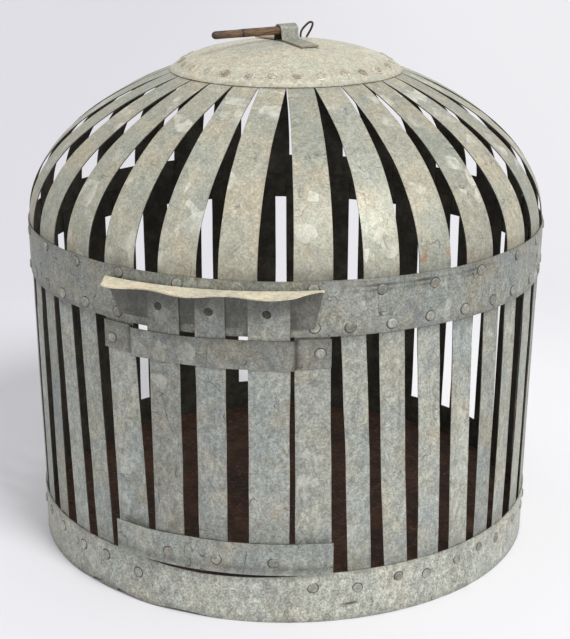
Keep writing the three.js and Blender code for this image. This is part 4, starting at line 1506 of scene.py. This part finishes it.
@dataclass
class LiftDoor:
    """The door: a handle plate with a wavy lip, three slats in front of it, and a bar across their feet.

    handle_foot, handle_top, lip_tip and the rivets are angles, rise_share and lip_share are where
    the plate's upright part ends and its lip begins, and slat_looks holds each slat's seed and tone.
    """

    shell: Shell
    plate_out: float = 2.6 * MM
    handle_foot: tuple[float, float] = (-34.7, 5.6)
    handle_top: tuple[float, float] = (-37.6, 7.3)
    lip_tip: float = -34.6
    lip_tilt: float = 3 * MM
    lip_reach: float = 18 * MM
    lip_wave: float = 2 * MM
    lip_pitch: float = 15.2
    lip_crest: float = -1.2
    lip_taper: float = 5.5
    lip_bend: float = 2 * MM
    slat_rivets: tuple[float, ...] = (-25.2, -14.7, -3.5)
    bar_rivets: tuple[float, ...] = (-24.5, -13.9, -2.1)
    rivet_rise: float = 11 * MM
    bar_rivet_rise: float = 12 * MM
    hem_reach: float = 0.6 * MM
    fold: float = 1.4 * MM
    rise_share: float = 0.35
    lip_share: float = 0.6
    slat_looks: tuple[tuple[float, float], ...] = ((3.3, 0.25), (4.7, 0.55), (6.1, 0.85))

    def build(self, shop: Workshop) -> None:
        """Makes the plate, the slats, the bar and their rivets.

        Args:
            shop: the workshop that makes the pieces.
        """
        self.plate(shop)
        step = self.shell.sheet + self.shell.gap
        slat_face = self.plate_out + step + self.shell.sheet
        for number, (seed, tone) in enumerate(self.slat_looks, 1):
            self.slat(shop, f"door_slat_{number:02d}", slat_face, seed, tone)
        bar_face = slat_face + step
        self.bar(shop, bar_face)
        rivet_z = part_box("door_handle_plate")[0].z + self.shell.sheet + self.rivet_rise
        sunk = []
        for angle in self.slat_rivets:
            point, normal = self.shell.on_wall(angle, rivet_z, slat_face)
            sunk.append(Rivet(point, normal, 3.0 * MM, 0.35 * MM))
        rivets = RivetSet("door_slat_rivets", "door", "door_zinc", sunk, Finish.SUNK, Finish.INSIDE,
                          skirt=1.15)
        rivets.build(shop)
        heads = []
        bar_rivet_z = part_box("door_bar")[0].z + self.bar_rivet_rise
        for angle in self.bar_rivets:
            point, normal = self.shell.on_wall(angle, bar_rivet_z, bar_face)
            heads.append(Rivet(point, normal, rust=0.1))
        RivetSet("door_bar_rivets", "door", "door_zinc", heads).build(shop)

    def reach(self, angle: float) -> float:
        """How far the lip stands out from the plate at an angle.

        Args:
            angle: angle about the cage's axis.

        Returns:
            The reach in metres.
        """
        wave = self.lip_wave * math.cos(2 * math.pi * (angle - self.lip_crest) / self.lip_pitch)
        fade = clamp((self.handle_top[1] - angle) / self.lip_taper, 0.12, 1.0)
        return (self.lip_reach + wave) * fade

    def plate(self, shop: Workshop) -> None:
        """Makes the handle plate: up behind the slats, then bent out to the lip.

        Args:
            shop: the workshop that makes the pieces.
        """
        shell = self.shell
        low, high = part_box("door_handle_plate")
        bend, rise, lip_share = self.lip_bend, self.rise_share, self.lip_share

        def place(u: float, v: float) -> Point:
            """A point on the face that becomes the lip's underside.

            Args:
                u: place across the plate, 0 to 1.
                v: place from its foot to the lip's tip, 0 to 1.

            Returns:
                The point and the outward normal there.
            """
            side, droop = clamp(v / rise), clamp((v - lip_share) / (1 - lip_share))
            left = mix(self.handle_foot[0], mix(self.handle_top[0], self.lip_tip, droop), side)
            right = mix(self.handle_foot[1], self.handle_top[1], side)
            angle = mix(left, right, u)
            base = high.z - shell.sheet - self.lip_tilt * (1 - u)
            if v <= rise:
                z = mix(low.z, base - bend, v / rise)
                return shell.on_wall(angle, z, self.plate_out + shell.sheet)
            if v < lip_share:
                turn = math.pi / 2 * (v - rise) / (lip_share - rise)
                out, z = bend * (1 - math.cos(turn)), base - bend * (1 - math.sin(turn))
            else:
                turn = math.pi / 2
                wave = 0.9 * MM * math.sin(angle * 0.42) - 0.6 * MM * smooth(angle, 1, 8)
                out, z = bend + self.reach(angle) * droop, base + droop * wave
            point, normal = shell.on_wall(angle, z, self.plate_out + shell.sheet + out)
            return point, (normal * math.cos(turn) + Vector((0, 0, -math.sin(turn)))).normalized()

        def grime_and_shade(u: float, v: float) -> float:
            """The upright plate is darker than its lip: painted shade under the lip."""
            return 0.8 * (1 - smooth(v, rise * 0.6, lip_share)) + 0.1

        along = [0.0, 0.02, 0.1, 0.2, 0.3, rise] + [mix(rise, lip_share, k / 6) for k in range(1, 7)]
        along += [0.68, 0.78, 0.88, 0.97, 1.0]
        spec = SheetSpec("handle_plate", place, stops(96, 0.004), along, shell.sheet, Finish.DOOR,
                         Finish.LIP, tone=0.35, grime_and_shade=grime_and_shade, rust=lambda u, v: 0.12 * smooth(v, 0.9, 1.0))
        shop.finish_piece(shop.sheet(spec), "door", ("door_handle_plate",), "door_zinc")

    def slat(self, shop: Workshop, node: str, face: float, seed: float, tone: float) -> None:
        """Makes one door slat in front of the hoop and the plate.

        Args:
            shop: the workshop that makes the pieces.
            node: the CAD node that the slat stands for.
            face: how far its outer face is beyond the wall's.
            seed: picks its small faults.
            tone: how light it is, 0 to 1.
        """
        head, foot = sheet_end(node, True), sheet_end(node, False)
        shell = self.shell

        def place(u: float, v: float) -> Point:
            """A point on the slat's outer face.

            Args:
                u: place across the sheet, 0 to 1.
                v: place up the sheet, 0 to 1.

            Returns:
                The point and the outward normal there.
            """
            z = mix(foot.z, head.z, v)
            free = math.sin(math.pi * v) ** 0.5 if 0 < v < 1 else 0.0
            ragged = math.degrees(0.35 * MM / shell.wall(z)) * free
            left = foot.left + ragged * wobble(seed, v, 0.15)
            right = foot.right + ragged * wobble(seed + 2, v, 0.17)
            out = face - 0.12 * MM * free * (1 + wobble(seed + 4, v, 0.25))
            return shell.on_wall(mix(left, right, u), z, out)

        def grime_and_shade(u: float, v: float) -> float:
            """The tops are darkened as painted shadow of the lip, and the feet from the floor."""
            shadow = 0.3 * smooth(v, 0.8, 0.9) + 0.4 * smooth(v, 0.925, 0.96)
            return shadow + 0.35 * bump(v, 0.1, 0.13)

        mesh = shop.sheet(SheetSpec(f"{node}_sheet", place, stops(4, 0.05), stops(30), shell.sheet,
                                    Finish.DOOR, tone=tone, grime_and_shade=grime_and_shade))
        shop.finish_piece(mesh, "door", (node,), "door_zinc")

    def bar(self, shop: Workshop, face: float) -> None:
        """Makes the bar: its face, a rounded lower fold, and the hem turned in over the hoop.

        Args:
            shop: the workshop that makes the pieces.
            face: how far its outer face is beyond the wall's.
        """
        shell = self.shell
        low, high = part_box("door_bar")
        points = [v.co for v in bpy.data.objects["door_bar"].data.vertices]
        left, right = min(angle_of(p) for p in points), max(angle_of(p) for p in points)
        fold, hem = self.fold, face - self.hem_reach
        face_share, fold_share = 0.6, 0.8

        def place(u: float, v: float) -> Point:
            """A point on the outer face, from the upper edge down and in under the slats.

            Args:
                u: place along the bar, 0 to 1.
                v: place from the upper edge to the hem's tip, 0 to 1.

            Returns:
                The point and the outward normal there.
            """
            angle = mix(left, right, u)
            top = high.z - 0.5 * MM * (1 + wobble(9.0, angle, 8))
            if v <= face_share:
                return shell.on_wall(angle, mix(top, low.z + fold, v / face_share), face)
            if v <= fold_share:
                turn = math.pi / 2 * (v - face_share) / (fold_share - face_share)
                out, z = face - fold * (1 - math.cos(turn)), low.z + fold * (1 - math.sin(turn))
            else:
                turn = math.pi / 2
                out, z = face - mix(fold, hem, (v - fold_share) / (1 - fold_share)), low.z
            point, normal = shell.on_wall(angle, z, out)
            return point, (normal * math.cos(turn) + Vector((0, 0, -math.sin(turn)))).normalized()

        def grime_and_shade(u: float, v: float) -> float:
            """A dark line along the fold."""
            return 0.5 * bump(v, 0.5, 0.14) + 0.1

        # The rows run from the hem upwards, so that the faces look outwards.
        along = [1.0, 0.9, 0.8, 0.75, 0.7, 0.65, 0.6, 0.5, 0.38, 0.25, 0.12, 0.02, 0.0]
        mesh = shop.sheet(SheetSpec("bar_sheet", place, stops(64, 0.006), along, shell.sheet, Finish.DOOR,
                                    tone=0.8, grime_and_shade=grime_and_shade))
        shop.finish_piece(mesh, "door", ("door_bar",), "door_zinc")


@dataclass
class Guide:
    """The strap that the door slats slide behind.

    raised holds the angles between which it stands clear of the slats, step is the joggle's width
    in degrees, and each rivet is (angle, height above the lower edge).
    """

    shell: Shell
    raised: tuple[float, float] = (-31.6, 1.6)
    step: float = 0.8
    raised_out: float = 4.9 * MM
    rivets: tuple[tuple[float, float], ...] = ((-37.3, 10.1 * MM), (6.9, 12.9 * MM))

    def build(self, shop: Workshop) -> None:
        """Makes the strap and its two rivets.

        Args:
            shop: the workshop that makes the pieces.
        """
        shell = self.shell
        low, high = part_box("guide_strap")
        points = [v.co for v in bpy.data.objects["guide_strap"].data.vertices]
        left, right = min(angle_of(p) for p in points), max(angle_of(p) for p in points)

        joggles = (self.raised[0] - self.step, self.raised[0], self.raised[1], self.raised[1] + self.step)
        across = sorted(stops(48, 0.004) + [
            (mix(joggles[pair], joggles[pair + 1], k / 4) - left) / (right - left)
            for pair in (0, 2) for k in range(5)])

        def place(u: float, v: float) -> Point:
            """A point on the strap's outer face.

            Args:
                u: place along the strap, 0 to 1.
                v: place up the strap, 0 to 1.

            Returns:
                The point and the outward normal there.
            """
            angle = mix(left, right, u)
            rise = smooth(angle, self.raised[0] - self.step, self.raised[0])
            fall = 1 - smooth(angle, self.raised[1], self.raised[1] + self.step)
            bottom = low.z + 0.5 * MM * (1 + wobble(2.0, angle, 9))
            top = high.z - 0.5 * MM * (1 + wobble(5.0, angle, 11))
            out = mix(shell.gap, self.raised_out, min(rise, fall)) + shell.sheet
            return shell.on_wall(angle, mix(bottom, top, v), out)

        def grime_and_shade(u: float, v: float) -> float:
            """Darker all over, in the two joggles and along the upper edge: painted shade in the folds and
            under the lip.

            Args:
                u: place along the strap, 0 to 1.
                v: place up the strap, 0 to 1.

            Returns:
                How dark the sheet is made there, 0 for clean.
            """
            angle = mix(left, right, u)
            folds = bump(angle, self.raised[0] - 0.6, 0.8) + bump(angle, self.raised[1] + 0.5, 0.8)
            return 0.8 * folds + 0.3 * bump(v, 1.0, 0.3) + 0.24

        mesh = shop.sheet(SheetSpec("guide_sheet", place, across, stops(8, 0.03), shell.sheet,
                                    Finish.DOOR, tone=0.3, grime_and_shade=grime_and_shade))
        shop.finish_piece(mesh, "cage", ("guide_strap",), "door_zinc")
        heads = []
        for (angle, rise), rust in zip(self.rivets, (0.5, 0.15)):
            point, normal = shell.on_wall(angle, low.z + rise, shell.hoop_out)
            heads.append(Rivet(point, normal, rust=rust))
        RivetSet("guide_rivets", "cage", "door_zinc", heads).build(shop)


# ---------------------------------------------------------------- on the cap


@dataclass
class TopHandle:
    """The strap bracket with its loop, the peg through the loop, and the wire eye behind.

    turn is the angle of the loop's axis, and the peg's rear, front and ring are measured along it
    from the loop's middle.
    """

    shell: Shell
    turn: float = 32.0
    width: float = 17 * MM
    strap: float = 1.2 * MM
    reach: float = 38 * MM
    peg_radius: float = 3.7 * MM
    loop_clearance: float = 0.6 * MM
    foot_steps: int = 8
    loop_steps: int = 18
    peg_rear: float = 10 * MM
    peg_front: float = 74 * MM
    peg_ring: float = 44.8 * MM
    peg_sides: int = 28
    eye_wire: float = 1.9 * MM
    eye_place: tuple[float, float] = (12.5 * MM, 22 * MM)
    eye_steps: int = 60
    eye_sides: int = 14

    def build(self, shop: Workshop) -> None:
        """Makes the bracket, the peg and the eye.

        Args:
            shop: the workshop that makes the pieces.
        """
        self.bracket(shop)
        self.peg(shop)
        self.eye(shop)

    @property
    def along(self) -> Vector:
        """Direction of the loop's axis."""
        return Vector((math.cos(math.radians(self.turn)), math.sin(math.radians(self.turn)), 0.0))

    @property
    def peg_height(self) -> float:
        """Height of the peg's axis."""
        low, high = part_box("peg")
        return (low.z + high.z) / 2

    @property
    def across(self) -> Vector:
        """Direction in which the strap runs over the crown."""
        return Vector((self.along.y, -self.along.x, 0.0))

    def bracket(self, shop: Workshop) -> None:
        """Bends the strap over the crown: foot, loop, foot.

        Args:
            shop: the workshop that makes the pieces.
        """
        shell = self.shell
        across = self.across
        inner = self.peg_radius + self.loop_clearance
        outer = inner + self.strap
        line: list[tuple[float, float, float, float]] = []
        rise = shell.gap + self.strap
        for k in range(self.foot_steps + 1):
            reach = mix(self.reach, outer + 1.4 * MM, k / self.foot_steps)
            _, z, dr, dz = bezier(shell.cap_curve, shell.cap_at(reach))
            line.append((reach + dz * rise, z - dr * rise, dz, -dr))
        foot = list(line)
        for k in range(self.loop_steps + 1):
            a = math.pi * k / self.loop_steps
            across_a, up_a = math.cos(a), math.sin(a)
            line.append((outer * across_a, self.peg_height + outer * up_a, across_a, up_a))
        line += [(-s, z, -ns, nz) for s, z, ns, nz in reversed(foot)]

        def place(u: float, v: float) -> Point:
            """A point on the strap's upper face.

            Args:
                u: place across the strap, 0 to 1.
                v: place along the strap, 0 to 1.

            Returns:
                The point and the outward normal there.
            """
            s, z, ns, nz = line[round(v * (len(line) - 1))]
            skew = 1.6 * MM * (u - 0.5) * (1 if abs(s) > self.reach * 0.93 else 0)
            point = across * (s + skew) + self.along * (mix(-0.5, 0.5, u) * self.width)
            sink = 0.02 * MM * wobble(1.0, s, 0.01)
            return point + Vector((0, 0, z + sink)), (across * ns + Vector((0, 0, nz))).normalized()

        def rust(u: float, v: float) -> float:
            """Rust along both long edges."""
            return 0.62 * max(bump(u, 0, 0.09), bump(u, 1, 0.09))

        # The rows run backwards along the strap, so that the faces look upwards.
        rows = [k / (len(line) - 1) for k in reversed(range(len(line)))]
        spec = SheetSpec("bracket_strap", place, stops(6, 0.05), rows, self.strap,
                         Finish.DOME, cut=0, tone=0.4, grime_and_shade=lambda u, v: 0.18, rust=rust)
        mesh = shop.sheet(spec)
        shop.finish_piece(mesh, "cage", ("handle_bracket",), "dome_zinc")

    def peg(self, shop: Workshop) -> None:
        """Turns the peg: a squared-off rear, a scored ring midway, and a rounded tip.

        Args:
            shop: the workshop that makes the pieces.
        """
        front = self.peg_front
        direction = -self.along
        side = Vector((-direction.y, direction.x, 0.0))
        stations: list[tuple[float, float, float]] = []
        for k in range(25):
            s = mix(-self.peg_rear, front - self.peg_radius, k / 24)
            slim = 1 - 0.06 * smooth(s, 44 * MM, 46 * MM)
            stations.append((s, slim, 0.25 + 0.4 * bump(s, front, 12 * MM)))
        for offset, share in ((-0.6 * MM, 0.98), (0.0, 0.9), (0.6 * MM, 0.98)):
            stations.append((self.peg_ring + offset, share, 0.9))
        for k in range(1, 7):
            a = math.pi / 2 * k / 7
            stations.append((front - self.peg_radius * (1 - math.sin(a)), 0.94 * math.cos(a), 0.75))
        stations.sort()
        rings = []
        for s, share, _ in stations:
            centre = direction * s + Vector((0, 0, self.peg_height))
            ring = []
            for i in range(self.peg_sides):
                a = 2 * math.pi * i / self.peg_sides
                c, d = math.cos(a), math.sin(a)
                uneven = 0.98 + 0.03 * noise.noise(Vector((s * 90, c * 1.5, d * 1.5)))
                ring.append(centre + (side * c + Vector((0, 0, d))) * (self.peg_radius * share * uneven))
            rings.append(ring)
        wood = WornWood("worn_wood", tuple(direction))
        mesh = shop.turned("peg_rod", rings, wood, lambda r: stations[r][2])
        shop.finish_piece(mesh, "peg", ("peg",), "old_wood")

    def eye(self, shop: Workshop) -> None:
        """Bends the wire eye: an upright hairpin with both feet on the cap.

        Args:
            shop: the workshop that makes the pieces.
        """
        x, y = self.eye_place
        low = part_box("wire_eye")[0].z
        outline = [(0, -0.6), (0.7, 4.6), (4.2, 9.4), (8.2, 12.6), (10.6, 11.6), (9.4, 7), (5.2, -0.6)]
        knots = [Vector((x + dx * MM, y, low + 0.7 * MM + dz * MM)) for dx, dz in outline]
        last = self.eye_steps
        path = [self.through(knots, t / last) for t in range(last + 1)]
        flat = Vector((0, 1, 0))
        rings = []
        for i, centre in enumerate(path):
            ahead = (path[min(i + 1, last)] - path[max(i - 1, 0)]).normalized()
            up = ahead.cross(flat).normalized()
            ring = []
            for k in range(self.eye_sides):
                a = 2 * math.pi * k / self.eye_sides
                ring.append(centre + (flat * math.cos(a) + up * math.sin(a)) * (self.eye_wire / 2))
            rings.append(ring)
        mesh = shop.turned("eye_wire", rings, Finish.WIRE)
        shop.finish_piece(mesh, "cage", ("wire_eye",), "dark_wire")

    @staticmethod
    def through(knots: Sequence[Vector], t: float) -> Vector:
        """A point on the smooth curve through the knots.

        Args:
            knots: the points that the curve runs through.
            t: how far along the curve, 0 to 1.

        Returns:
            The point.
        """
        place = t * (len(knots) - 1)
        i = min(int(place), len(knots) - 2)
        s = place - i
        p0, p1 = knots[max(i - 1, 0)], knots[i]
        p2, p3 = knots[i + 1], knots[min(i + 2, len(knots) - 1)]
        return 0.5 * (2 * p1 + (p2 - p0) * s + (2 * p0 - 5 * p1 + 4 * p2 - p3) * s**2
                      + (3 * p1 - p0 - 3 * p2 + p3) * s**3)


# ---------------------------------------------------------------- studio


@dataclass
class Studio:
    """A pale floor with painted light and shade, soft light, and the camera."""

    camera_place: tuple[float, float, float] = (0.0, -1.3401, 0.6319)
    camera_pitch: float = 72.356
    camera_roll: float = 0.245
    lens: float = 86.35
    shift: tuple[float, float] = (-0.0003, -0.0287)
    floor_half: float = 14.0
    sky: float = 0.86
    key_from: tuple[float, float, float] = (1.0, -1.3, 1.6)
    key_strength: float = 2.35
    key_spread: float = 20.0
    fill_place: tuple[float, float, float] = (-2.4, -1.2, 1.6)
    fill_size: float = 2.0
    fill_power: float = 6.0
    fill_target: tuple[float, float, float] = (0.0, 0.0, 0.2)

    def build(self, shop: Workshop) -> None:
        """Makes the floor, the lights and the camera.

        Args:
            shop: the workshop that makes the pieces.
        """
        size = self.floor_half
        mesh = bpy.data.meshes.new("studio_floor")
        corners = [(-size, -size, 0), (size, -size, 0), (size, size, 0), (-size, size, 0)]
        mesh.from_pydata(corners, [], [(0, 1, 2, 3)])
        mesh.materials.append(shop.palette.get(Finish.FLOOR))
        floor = bpy.data.objects.new("studio_floor", mesh)
        bpy.context.scene.collection.objects.link(floor)
        world = bpy.data.worlds.new("studio_world")
        bpy.context.scene.world = world
        world.use_nodes = True
        back = world.node_tree.nodes["Background"]
        back.inputs["Color"].default_value = tint(252, 252, 254)
        back.inputs["Strength"].default_value = self.sky
        self.key()
        self.fill()
        self.camera()
        bpy.context.scene.view_settings.view_transform = "Standard"

    def key(self) -> None:
        """Adds the main light, a broad sun from the upper front right."""
        data = bpy.data.lights.new("key", "SUN")
        data.energy = self.key_strength
        data.angle = math.radians(self.key_spread)
        lamp = bpy.data.objects.new("key", data)
        lamp.rotation_euler = Vector(self.key_from).to_track_quat("Z", "Y").to_euler()
        bpy.context.scene.collection.objects.link(lamp)

    def fill(self) -> None:
        """Adds a weak, square soft light from the left that faces the cage."""
        data = bpy.data.lights.new("fill", "AREA")
        data.size = self.fill_size
        data.energy = self.fill_power
        lamp = bpy.data.objects.new("fill", data)
        lamp.location = self.fill_place
        aim = Vector(self.fill_target) - Vector(self.fill_place)
        lamp.rotation_euler = aim.to_track_quat("-Z", "Y").to_euler()
        bpy.context.scene.collection.objects.link(lamp)

    def camera(self) -> None:
        """Adds the camera and makes it the scene's own."""
        data = bpy.data.cameras.new("camera")
        data.lens = self.lens
        data.sensor_width = 36.0
        data.shift_x, data.shift_y = self.shift
        camera = bpy.data.objects.new("camera", data)
        camera.location = self.camera_place
        camera.rotation_mode = "XYZ"
        pitch = Matrix.Rotation(math.radians(self.camera_pitch), 4, "X")
        roll = Matrix.Rotation(math.radians(self.camera_roll), 4, "Z")
        camera.rotation_euler = (pitch @ roll).to_euler()
        bpy.context.scene.collection.objects.link(camera)
        bpy.context.scene.camera = camera


def main() -> None:
    """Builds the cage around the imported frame."""
    logging.basicConfig(level=logging.INFO, format="%(message)s")
    shop = Workshop(Palette())
    shell = Shell(tuple(frame["nodes"]))
    Studio().build(shop)
    dome = Dome(shell)
    for part in (Wall(shell), Hoops(shell, dome), dome, FloorPan(shell), LiftDoor(shell), Guide(shell),
                 TopHandle(shell)):
        LOG.info("building %s", type(part).__name__)
        part.build(shop)


if __name__ == "__main__":
    main()
